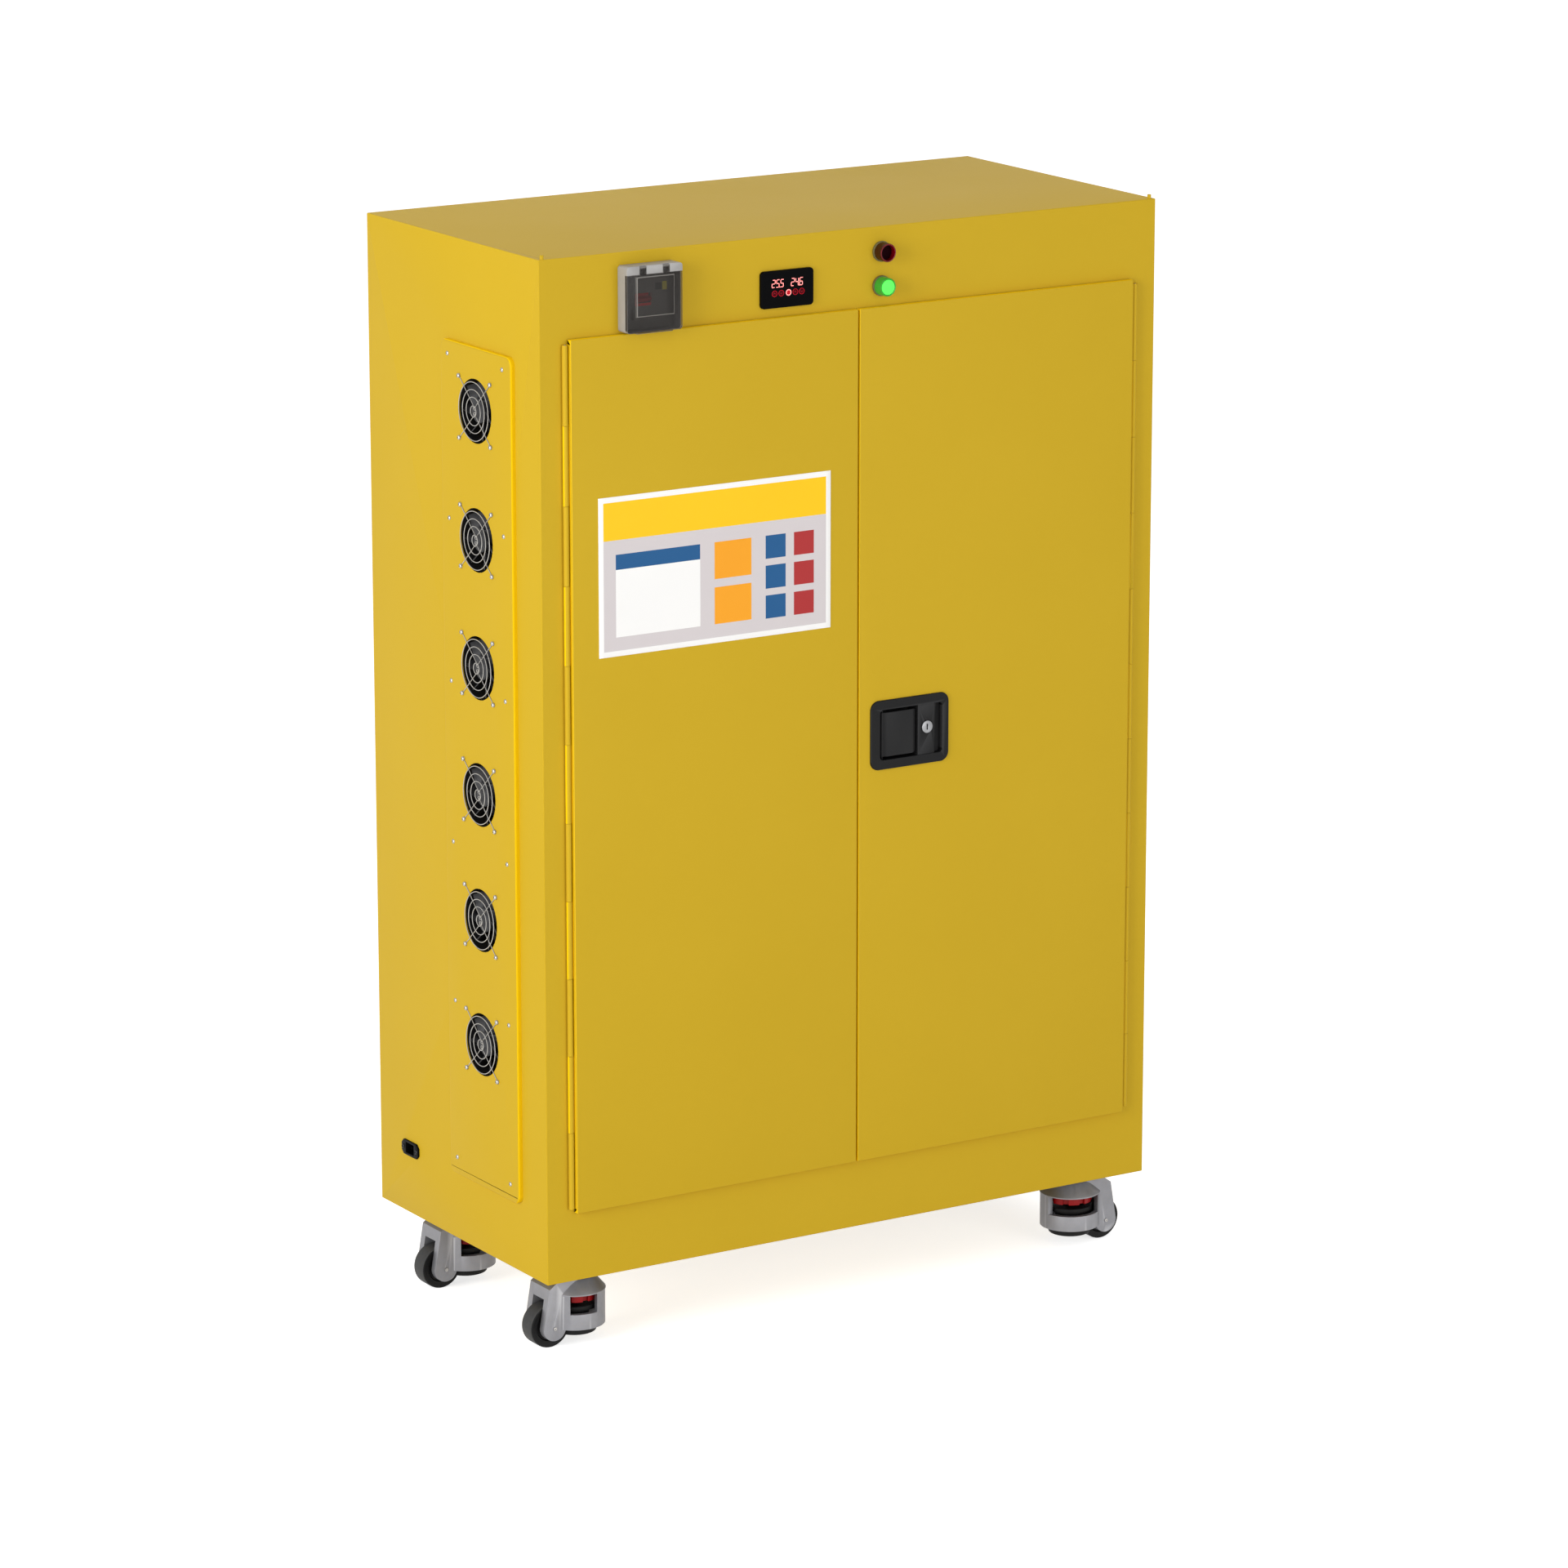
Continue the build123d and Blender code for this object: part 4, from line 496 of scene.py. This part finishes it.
def paint_edge_highlights(piece, across, where=lambda point: True):
    """Gives a sheet's returns, which face away from one axis, the painted highlight: a brighter
    yellow.
    """
    piece.data.materials.append(edge_highlight_paint)
    for face in piece.data.polygons:
        face.material_index = int(abs(face.normal[across]) < SIDEWAYS and where(face.center))


for door in ("left_door", "right_door"):
    skin = f"{door}_skin"
    low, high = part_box(skin)
    rim = (low.z + NEAR, high.z - NEAR)
    leaf = softened(
        skin, door, DOOR_FOLD,
        lambda point: point.y < low.y + sheet_thick and not rim[0] < point.z < rim[1],
    )
    # the door's returns take the painted highlight
    paint_edge_highlights(leaf, 1)

cover_low, cover_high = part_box("fan_cover")
fan_y = PIVOTS["fan_1_spin"].y
COVER_CORNER = 16 * MM


def in_middle(point):
    """Whether a point is further in from the fan cover's rim than its corners are round."""
    return all(
        cover_low[axis] + COVER_CORNER < point[axis] < cover_high[axis] - COVER_CORNER
        for axis in (1, 2)
    )


cover = softened(
    "fan_cover", "cabinet", COVER_FOLD,
    lambda point: point.x < cover_low.x + NEAR and not in_middle(point), steps=4,
)
# the cover's returns round its rim take the painted highlight
paint_edge_highlights(cover, 0, lambda point: not in_middle(point))

# ==== fans ====================================================================================
# Drawn wire guards: four rings on two V-shaped wires, whose ends are eyes under the screws.
guard_low, guard_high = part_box("finger_guards")
WIRE = 0.7 * MM
RINGS = (42.5, 31.5, 20.5, 8.0)
HOLE_REACH = 45 * MM
EYE = 2.5 * MM
# the V's point and its loop, as shares of the smallest ring
TIP_SHARE, LOOP_SHARE, LOOP_LIFT = 0.6, 0.34, 0.5 * MM
fan_heights = [PIVOTS[f"fan_{number + 1}_spin"].z for number in range(len(FANS))]


def wire_ring(centre, radius, thick):
    """A closed ring of round wire whose axis lies along X."""
    deselect()
    bpy.ops.curve.primitive_bezier_circle_add(
        radius=radius, location=centre, rotation=(0, pi / 2, 0)
    )
    ring = bpy.context.object
    ring.data.resolution_u = 12
    ring.data.bevel_depth = thick
    ring.data.bevel_resolution = 2
    bpy.ops.object.convert(target="MESH")
    return bpy.context.object


def wire_run(points, thick):
    """An open run of round wire through points, with closed ends."""
    deselect()
    bpy.ops.curve.primitive_nurbs_path_add(location=(0, 0, 0))
    run = bpy.context.object
    run.data.splines.clear()
    line = run.data.splines.new("BEZIER")
    line.bezier_points.add(len(points) - 1)
    for knot, point in zip(line.bezier_points, points):
        knot.co = point
        knot.handle_left_type = knot.handle_right_type = "VECTOR"
    run.data.resolution_u = 4
    run.data.bevel_depth = thick
    run.data.bevel_resolution = 2
    run.data.use_fill_caps = True
    bpy.ops.object.convert(target="MESH")
    return bpy.context.object


def guard_at(height):
    """One guard in front of a fan."""
    centre = Vector((0, fan_y, height))
    ring_x, arm_x = guard_low.x + WIRE, guard_high.x - WIRE
    parts = [wire_ring(centre + X * ring_x, radius * MM, WIRE) for radius in RINGS]
    for up in (-1, 1):
        tip = centre + X * arm_x + Z * up * RINGS[-1] * MM * TIP_SHARE
        for side in (-1, 1):
            eye = centre + X * arm_x + Vector((0, side * HOLE_REACH, up * HOLE_REACH))
            lead = (eye - tip).normalized() * EYE
            parts.append(wire_run([tip, eye - lead], WIRE))
            parts.append(wire_ring(eye, EYE, WIRE))
        loop = tip - Z * up * LOOP_LIFT
        parts.append(wire_ring(loop, RINGS[-1] * MM * LOOP_SHARE, WIRE))
    return joined(parts)


guards = joined([guard_at(height) for height in fan_heights])
settle(guards, "wire_guards", "cabinet", nickel_plate, ("finger_guards",))

# Button-headed screws with a driving recess, at the cover's rim and through the guards' eyes.
HEAD_R, HEAD_HIGH = 3.4, 2.2
SOCKET_R, SOCKET_DEEP = 1.1, 1.1
SPREAD = 2.4 * HEAD_R * MM
screw_mesh = frame["nodes"]["side_screws"].data


def screw_places():
    """The middle of the foot of every screw head, found from the heads' own outlines."""
    places = {}
    for vertex in screw_mesh.vertices:
        for key in places:
            if abs(key[0] - vertex.co.y) < SPREAD and abs(key[1] - vertex.co.z) < SPREAD:
                places[key].append(vertex.co.copy())
                break
        else:
            places[(vertex.co.y, vertex.co.z)] = [vertex.co.copy()]
    middles = []
    for found in places.values():
        ys, zs = [p.y for p in found], [p.z for p in found]
        middles.append(
            Vector((max(p.x for p in found), (min(ys) + max(ys)) / 2, (min(zs) + max(zs)) / 2))
        )
    return middles


screw_spots = screw_places()
dome = [(HEAD_R * sin(step * pi / 12), HEAD_HIGH * cos(step * pi / 12)) for step in range(3, 7)]
head_line = [
    (0, HEAD_HIGH - SOCKET_DEEP), (SOCKET_R, HEAD_HIGH - SOCKET_DEEP),
    (SOCKET_R + 0.2, HEAD_HIGH - 0.1), *dome, (HEAD_R, 0), (0, 0),
]
first_screw = turned(head_line, screw_spots[0], -X, Y, steps=20)
screws = copies(first_screw, [spot - screw_spots[0] for spot in screw_spots[1:]])
settle(screws, "button_head_screws", "cabinet", nickel_plate, ("side_screws",))
screws.data.materials.append(black_oxide)
inlet_low, inlet_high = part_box("power_inlet")
for face in screws.data.polygons:
    face.material_index = int(
        all(inlet_low[axis] < face.center[axis] < inlet_high[axis] for axis in (1, 2))
    )

# Rotors: a cupped hub with a raised disc, and seven twisted blades whose twist eases towards the
# tip.
BLADES, BLADE_ROWS, BLADE_THICK = 7, 6, 1.4
ROOT_TWIST, TWIST_FALL, ROOT_DROP = 50, 22, 2.4
HUB_R, SHAFT_R, TIP_R, CHORD = 18.0, 3.1, 43.4, 19.0
for number, node in enumerate(FANS, start=1):
    low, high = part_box(node)
    hub = Vector((low.x, fan_y, PIVOTS[f"fan_{number}_spin"].z))
    depth = (high.x - low.x) / MM
    hub_line = [
        (0, 0.4), (12.5, 0.4), (12.9, 0.9), (15.6, 0.9), (16.9, 1.2), (HUB_R, 2.4),
        (HUB_R, depth - 0.5), (SHAFT_R, depth - 0.5), (SHAFT_R, 4.0), (0, 4.0),
    ]
    rotor = turned(hub_line, hub, X, Y, steps=48)
    deselect()
    root_r = (HUB_R - 1.5) * MM
    span = TIP_R * MM - root_r
    bpy.ops.mesh.primitive_grid_add(x_subdivisions=BLADE_ROWS, y_subdivisions=BLADE_ROWS, size=1)
    blade = bpy.context.object
    blade.scale = (CHORD * MM, span, 1)
    bpy.ops.object.transform_apply(location=False, rotation=False, scale=True)
    bpy.ops.object.mode_set(mode="EDIT")
    for row in range(BLADE_ROWS + 1):
        out = row / BLADE_ROWS
        along = -span / 2 + span * out
        pick(lambda vertex: abs(vertex.co.y - along) < NEAR, "verts")
        bpy.ops.transform.rotate(
            value=radians(ROOT_TWIST - TWIST_FALL * out), orient_axis="Y",
            center_override=(0, along, 0),
        )
        bpy.ops.transform.translate(value=(0, 0, -ROOT_DROP * MM * (1 - out)))
    bpy.ops.mesh.select_all(action="SELECT")
    bpy.ops.transform.translate(value=hub + X * (depth / 2 * MM) + Y * (root_r + span / 2))
    bpy.ops.mesh.spin(steps=BLADES, dupli=True, angle=2 * pi, center=hub, axis=X)
    bpy.ops.object.mode_set(mode="OBJECT")
    wall = blade.modifiers.new("wall", "SOLIDIFY")
    wall.thickness = BLADE_THICK * MM
    wall.offset = 0
    bpy.ops.object.modifier_apply(modifier=wall.name)
    rotor = joined([rotor, blade])
    settle(rotor, f"rotor_{number}", f"fan_{number}", rotor_moulding, (node,))

# ==== indicators ==============================================================================
# Display: two three-figure readings in seven segments, and five round keys, as plain numbers.
panel_low, panel_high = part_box("display_module")
FIGURES = {"2": "abged", "5": "afgcd", "4": "fgbc", "6": "afgedc"}
DIGIT_WIDE, DIGIT_HIGH, DIGIT_PITCH, BAR = 4.7, 10.6, 7.1, 1.05
BARS = {
    "a": (0, DIGIT_HIGH / 2, 0), "g": (0, 0, 0), "d": (0, -DIGIT_HIGH / 2, 0),
    "f": (-DIGIT_WIDE / 2, DIGIT_HIGH / 4, 1), "b": (DIGIT_WIDE / 2, DIGIT_HIGH / 4, 1),
    "e": (-DIGIT_WIDE / 2, -DIGIT_HIGH / 4, 1), "c": (DIGIT_WIDE / 2, -DIGIT_HIGH / 4, 1),
}
glass = Vector((panel_low.x, panel_low.y, panel_high.z))
RAISE, LEAN, BAR_GAP, POINT_R = 0.15 * MM, 0.12, 0.5, 0.7


def segment(across, up, upright):
    """One bar of a figure, at millimetres from the panel's top left corner."""
    length = (DIGIT_HIGH / 2 if upright else DIGIT_WIDE) - BAR_GAP
    half = Vector((BAR, 0, length) if upright else (length, 0, BAR)) * MM / 2
    middle = glass + Vector((across, 0, -up)) * MM
    return slab(middle - half - Y * RAISE, middle + half + Y * RAISE, BAR * 0.3, 2)


def reading(figures, left, top):
    """A reading of three figures with a point before the last."""
    bars = []
    for place, figure in enumerate(figures):
        for bar in FIGURES[figure]:
            across, up, upright = BARS[bar]
            middle = left + place * DIGIT_PITCH + DIGIT_WIDE / 2
            bars.append(
                segment(middle + across + LEAN * up, top + DIGIT_HIGH / 2 - up, upright)
            )
    dot = Vector((left + 2 * DIGIT_PITCH - 1.6, 0, -(top + DIGIT_HIGH))) * MM + glass
    point_line = [(0, 0), (POINT_R, 0), (POINT_R, 2 * RAISE / MM), (0, 2 * RAISE / MM)]
    bars.append(turned(point_line, dot + Y * RAISE, -Y, X, 12))
    return bars


READING_LEFTS, READING_TOP = (18.6, 50.8), 13.2
segments = joined([
    bar
    for figures, left in zip(("255", "246"), READING_LEFTS)
    for bar in reading(figures, left, READING_TOP)
])
settle(segments, "display_figures", "cabinet", led_red)

KEY_R, KEY_DEPTH, KEY_RING, BRIGHT_RING = 4.6, 0.3, 0.8, 1.3
MIDDLE_HIGH, MARK_UP, MARK_ACROSS, MARK_WIRE = 0.12, 1.5 * MM, 1.6 * MM, 0.25 * MM
KEYS_ACROSS, KEYS_DOWN, BRIGHT_KEY = (22.6, 33.9, 46.1, 57.5, 68.3), 32.9, 2
key_spots = [glass + Vector((across, 0, -KEYS_DOWN)) * MM for across in KEYS_ACROSS]
bright_spot = key_spots.pop(BRIGHT_KEY)


def key_ring(spot, ring_wide):
    """A round key's rim, standing a little from the glass."""
    inner = KEY_R - ring_wide
    line = [(inner, 0), (inner + 0.15, KEY_DEPTH), (KEY_R - 0.15, KEY_DEPTH), (KEY_R, 0)]
    return turned(line, spot, -Y, X, 40)


def key_middle(spot, reach):
    """A round key's flat middle, a little lower than its rim."""
    line = [(0, MIDDLE_HIGH), (reach - 0.2, MIDDLE_HIGH), (reach, 0)]
    return turned(line, spot, -Y, X, 40)


shifts = [spot - key_spots[0] for spot in key_spots[1:]]
keys = [copies(key_ring(key_spots[0], KEY_RING), shifts)]
for place, spot in enumerate(key_spots):
    point = Z * (1 if place % 2 == 0 else -1) * MARK_UP
    for side in (-1, 1):
        arm = X * side * MARK_ACROSS
        keys.append(wire_run([spot + point, spot + arm - point * 0.4], MARK_WIRE))
settle(joined(keys), "display_keys", "cabinet", led_dim)
middles = copies(key_middle(key_spots[0], KEY_R - KEY_RING), shifts)
settle(middles, "display_key_middles", "cabinet", led_idle)
bright_ring = key_ring(bright_spot, BRIGHT_RING)
settle(bright_ring, "display_bright_key", "cabinet", led_red)
bright_middle = key_middle(bright_spot, KEY_R - BRIGHT_RING)
settle(bright_middle, "display_bright_middle", "cabinet", led_dim)

# Lamps: a deep cup for the unlit one, and a flat lit face in a dark rim for the other.
UNLIT_DEEP, LIT_DEEP, SIDE_SKIN, FACES_FRONT = 9.0, 0.8, 0.3, 0.7
for node, deep in (("red_lamp_lens", UNLIT_DEEP), ("green_lamp_lens", LIT_DEEP)):
    low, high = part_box(node)
    middle = (low + high) / 2
    foot = Vector((middle.x, high.y, middle.z))
    reach, radius = (high.y - low.y) / MM, (high.x - low.x) / 2 / MM
    lens_line = [
        (0, 0), (radius, 0), (radius, reach - 1.4), (radius - 0.5, reach - 0.4),
        (radius - 1.3, reach), (radius - 2.2, reach - 0.3), (radius - 2.6, reach - deep),
        (radius * 0.5, reach - deep - 0.2), (0, reach - deep),
    ]
    lens = turned(lens_line, foot, -Y, X)
    unlit = deep == UNLIT_DEEP
    colour = "red_lens" if unlit else "green_lens"
    settle(lens, f"{node}_turned", "cabinet", FINISHES[colour], (node,))
    if unlit:
        lens.data.materials.append(unlit_cup_shade)
        lens.data.materials.append(ruby_side_painted_light)
        # the cup's floor, facing the front, takes the painted shade
        floor_y = low.y + (deep - 0.6) * MM
        for face in lens.data.polygons:
            off = face.center - middle
            across = Vector((off.x, 0, off.z)).length
            # the side skin takes the painted yellow light of the paint behind it
            if across > (radius - SIDE_SKIN) * MM:
                face.material_index = 2
            elif face.center.y > floor_y and face.normal.y < -FACES_FRONT:
                face.material_index = 1
    else:
        lit_line = [
            (0, reach - 0.9), (radius - 2.7, reach - 0.9), (radius - 3.0, reach - 0.3),
            (0, reach - 0.1),
        ]
        lit = turned(lit_line, foot, -Y, X)
        settle(lit, "lit_lamp_face", "cabinet", lit_diffuser)
# the collars' grey carries the painted yellow light of the paint behind them
softened("lamp_collars", "cabinet", 0.7, material=collar_moulding)

# ==== breaker enclosure =======================================================================
base_low, base_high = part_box("breaker_base")
HEADER_HIGH, LIP, FLAT, OUTWARD = 11.7 * MM, 1.6 * MM, 0.985, 0.9
header_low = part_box("breaker_cover")[1].z - HEADER_HIGH
base = softened("breaker_base", "cabinet", 1.4)
base.data.materials.append(breaker_grey_and_cavity_shade)
# the base's cavity below the header takes the breaker's dark grey as painted shade
for face in base.data.polygons:
    inside = all(
        base_low[axis] + LIP < face.center[axis] < base_high[axis] - LIP for axis in (0, 2)
    )
    face.material_index = int(inside and face.center.z < header_low)
lid = softened("breaker_cover", "breaker_lid", 0.8)
lid.data.materials.append(smoked_edge)
for face in lid.data.polygons:
    face.material_index = int(max(abs(part) for part in face.normal) < FLAT)
switch = softened(
    "circuit_breaker", "cabinet", 0.5, material=breaker_grey_and_cavity_shade
)
softened("breaker_toggle", "toggle", 0.5)
# Printed fields on the breaker's face, from the toggle's pivot: red round the toggle, and two
# small ones above it. Each has its limits to the right and upwards.
toggle_low, toggle_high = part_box("breaker_toggle")
pivot = PIVOTS["breaker_toggle_tilt"]


def from_pivot(axis, low, high):
    """Two limits along an axis, given in millimetres from the toggle's pivot."""
    return pivot[axis] + low * MM, pivot[axis] + high * MM


PRINTS = [
    (red_print, (toggle_low.x - MM, toggle_high.x + MM), from_pivot(2, -11, 6)),
    (black_moulding, from_pivot(0, 20, 30), from_pivot(2, 10, 20)),
    (olive_print, from_pivot(0, 31.5, 39), from_pivot(2, 9, 21)),
]
take(switch, edit=True)
for _, across, up in PRINTS:
    cut(X, across)
    cut(Z, up)
bpy.ops.object.mode_set(mode="OBJECT")
for place, (ink, across, up) in enumerate(PRINTS, start=1):
    switch.data.materials.append(ink)
    for face in switch.data.polygons:
        within = across[0] < face.center.x < across[1] and up[0] < face.center.z < up[1]
        if face.normal.y < -OUTWARD and within:
            face.material_index = place

# ==== latch ===================================================================================
softened("latch_bezel", "right_door", 0.9)
softened("latch_paddle", "paddle", 0.6)
barrel = softened("lock_cylinder", "lock", 0.4)
# The barrel is drawn in by a hair, so that its facets turn clear of the bore's.
RUNNING = 0.985
lock_axis = PIVOTS["lock_turn"]
barrel.data.transform(
    Matrix.Translation(lock_axis)
    @ Matrix.Diagonal((RUNNING, 1, RUNNING, 1))
    @ Matrix.Translation(-lock_axis)
)
softened("power_inlet", "cabinet", 0.4, material=inlet_moulding)

# ==== casters =================================================================================
FLANK = 0.75
CHEEK = 28.0
RIVET_LINE = [(0, 1.2), (0.8, 1.2), (1.2, 1.7), (2.4, 1.5), (3.0, 0.9), (3.1, 0), (0, 0)]
for corner in CORNERS:
    body = f"{corner}_caster"
    softened(f"{corner}_caster_housing", body, 0.8)
    softened(f"{corner}_adjuster", f"{corner}_dial", 0.7)
    softened(f"{corner}_foot", f"{corner}_leg", 0.7)
    low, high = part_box(f"{corner}_wheel")
    axle = (low + high) / 2
    wheel_r, half = (high.x - low.x) / 2 / MM, (high.y - low.y) / 2 / MM
    core_line = [
        (4.05, -half), (10.5, -half), (11.5, -half + 1.5), (12.5, -half + 3.2),
        (21.0, -half + 3.2), (22.5, -half + 1.0), (26.5, -half + 0.8), (26.5, half - 0.8),
        (22.5, half - 1.0), (21.0, half - 3.2), (12.5, half - 3.2), (11.5, half - 1.5),
        (10.5, half), (4.05, half), (4.05, -half),
    ]
    core = turned(core_line, axle, Y, Z)
    settle(core, f"{corner}_wheel_core", f"{corner}_roller", core_moulding,
           (f"{corner}_wheel",))
    edge = 2.6
    bend = [radians(15 * step) for step in range(7)]
    tread_line = [(26.4, -half + 0.7)]
    tread_line += [
        (wheel_r - edge + edge * sin(turn), -half + edge - edge * cos(turn)) for turn in bend
    ]
    tread_line += [
        (wheel_r - edge + edge * sin(turn), half - edge + edge * cos(turn))
        for turn in reversed(bend)
    ]
    tread_line += [(26.4, half - 0.7), (26.4, -half + 0.7)]
    tread = turned(tread_line, axle, Y, Z)
    settle(tread, f"{corner}_tread", f"{corner}_roller", tread_nylon)
    tread.data.materials.append(core_moulding)
    for face in tread.data.polygons:
        face.material_index = int(abs(face.normal.y) > FLANK)
    # turned rivet heads on the fork's cheeks, over the axle's ends
    rivets = [
        turned(RIVET_LINE, axle + out * CHEEK * MM, out, Z, steps=24) for out in (-Y, Y)
    ]
    settle(joined(rivets), f"{corner}_axle_rivets", body, nickel_plate)

# ==== placard =================================================================================
placard_low, placard_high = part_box("placard")
sheet = slab(placard_low, placard_high, 0.3, 2)
take(sheet, edit=True)
wide = (placard_high.x - placard_low.x) / MM
tall = (placard_high.z - placard_low.z) / MM
BORDER, HEADER = 8.0, 55.0
FIELDS = [
    ("yellow", (BORDER, wide - BORDER), (BORDER, BORDER + HEADER)),
    ("grey", (BORDER, wide - BORDER), (BORDER + HEADER, tall - BORDER)),
    ("white", (28, 168), (84, 204)),
    ("blue", (28, 168), (84, 106)),
    ("orange", (192, 254), (84, 138)),
    ("orange", (192, 254), (150, 204)),
    ("blue", (278, 312), (84, 118)),
    ("blue", (278, 312), (128, 162)),
    ("blue", (278, 312), (172, 206)),
    ("red", (326, 360), (84, 118)),
    ("red", (326, 360), (128, 162)),
    ("red", (326, 360), (172, 206)),
]
for _, across, down in FIELDS:
    cut(X, [placard_low.x + line * MM for line in across])
    cut(Z, [placard_high.z - line * MM for line in down])
bpy.ops.object.mode_set(mode="OBJECT")
settle(sheet, "placard_sheet", "left_door", VINYL["white"], ("placard",))
INKS = list(VINYL)
for ink in INKS[1:]:
    sheet.data.materials.append(VINYL[ink])
for face in sheet.data.polygons:
    if face.normal.y > -OUTWARD:
        continue
    across = (face.center.x - placard_low.x) / MM
    down = (placard_high.z - face.center.z) / MM
    for ink, columns, rows in FIELDS:
        if columns[0] < across < columns[1] and rows[0] < down < rows[1]:
            face.material_index = INKS.index(ink)

# ==== stage, light and camera =================================================================
deselect()
bpy.ops.mesh.primitive_plane_add(size=40, location=(0, 0, 0))
floor = bpy.context.object
floor.name = "studio_floor"


def seen_by_eye(tree_owner):
    """One where a ray comes from the camera, a reflection or a clear piece, and else nought."""
    rays = add(tree_owner, "LightPath").outputs
    direct = add(
        tree_owner, "Math", {"operation": "MAXIMUM"},
        {0: rays["Is Camera Ray"], 1: rays["Is Glossy Ray"]},
    )
    return add(
        tree_owner, "Math", {"operation": "MAXIMUM"},
        {0: direct.outputs[0], 1: rays["Is Transmission Ray"]},
    ).outputs[0]


# A pale studio floor, lifted for the camera so that only the object's shadow darkens it.
stage_paint = bpy.data.materials.new("floor_matt_white")
stage_paint.use_nodes = True
stage_shader = stage_paint.node_tree.nodes["Principled BSDF"]
stage_shader.inputs["Base Color"].default_value = linear("#E6E6E6")
stage_shader.inputs["Roughness"].default_value = 0.9
FLOOR_LIFT = 0.7
seen = seen_by_eye(stage_paint)
lift = add(stage_paint, "Math", {"operation": "MULTIPLY"}, {0: seen, 1: FLOOR_LIFT})
glow = add(stage_paint, "Emission", {}, {"Strength": lift.outputs[0]})
both = add(stage_paint, "AddShader", {}, {0: stage_shader.outputs[0], 1: glow.outputs[0]})
stage_paint.node_tree.links.new(
    both.outputs[0], stage_paint.node_tree.nodes["Material Output"].inputs["Surface"]
)
floor.data.materials.append(stage_paint)

AMBIENT = 0.5
world = bpy.data.worlds.new("studio")
bpy.context.scene.world = world
world.use_nodes = True
backdrop = world.node_tree.nodes["Background"]
backdrop.inputs["Color"].default_value = (1, 1, 1, 1)
seen = seen_by_eye(world)
level = add(
    world, "MapRange", {}, {"Value": seen, "To Min": AMBIENT, "To Max": 1.0}
)
world.node_tree.links.new(level.outputs["Result"], backdrop.inputs["Strength"])

CENTRE = Vector((0.035, 0, 0.739))


def lamp(name, place, size, watts):
    """A square soft box that faces the middle of the object."""
    light = bpy.data.lights.new(name, "AREA")
    light.shape = "SQUARE"
    light.size = size
    light.energy = watts
    box = bpy.data.objects.new(name, light)
    box.location = place
    box.rotation_euler = (CENTRE - Vector(place)).to_track_quat("-Z", "Y").to_euler()
    bpy.context.scene.collection.objects.link(box)


lamp("soft_box_left", (-6.5, -2.0, 2.6), 3.5, 330)
lamp("soft_box_front", (1.0, -7.0, 1.9), 3.5, 155)
lamp("soft_box_top", (0.5, 1.0, 6.5), 4.0, 60)

VIEW_TURN, VIEW_RISE, VIEW_DISTANCE = radians(-32.06), radians(13.99), 9.798
camera = bpy.data.objects.new("camera", bpy.data.cameras.new("camera"))
bpy.context.scene.collection.objects.link(camera)
camera.data.sensor_width = 36.0
camera.data.lens = 149.95
camera.rotation_euler = (pi / 2 - VIEW_RISE, 0, VIEW_TURN)
camera.location = CENTRE + VIEW_DISTANCE * Vector(
    (sin(VIEW_TURN) * cos(VIEW_RISE), -cos(VIEW_TURN) * cos(VIEW_RISE), sin(VIEW_RISE))
)
bpy.context.scene.camera = camera
bpy.context.scene.view_settings.view_transform = "Standard"
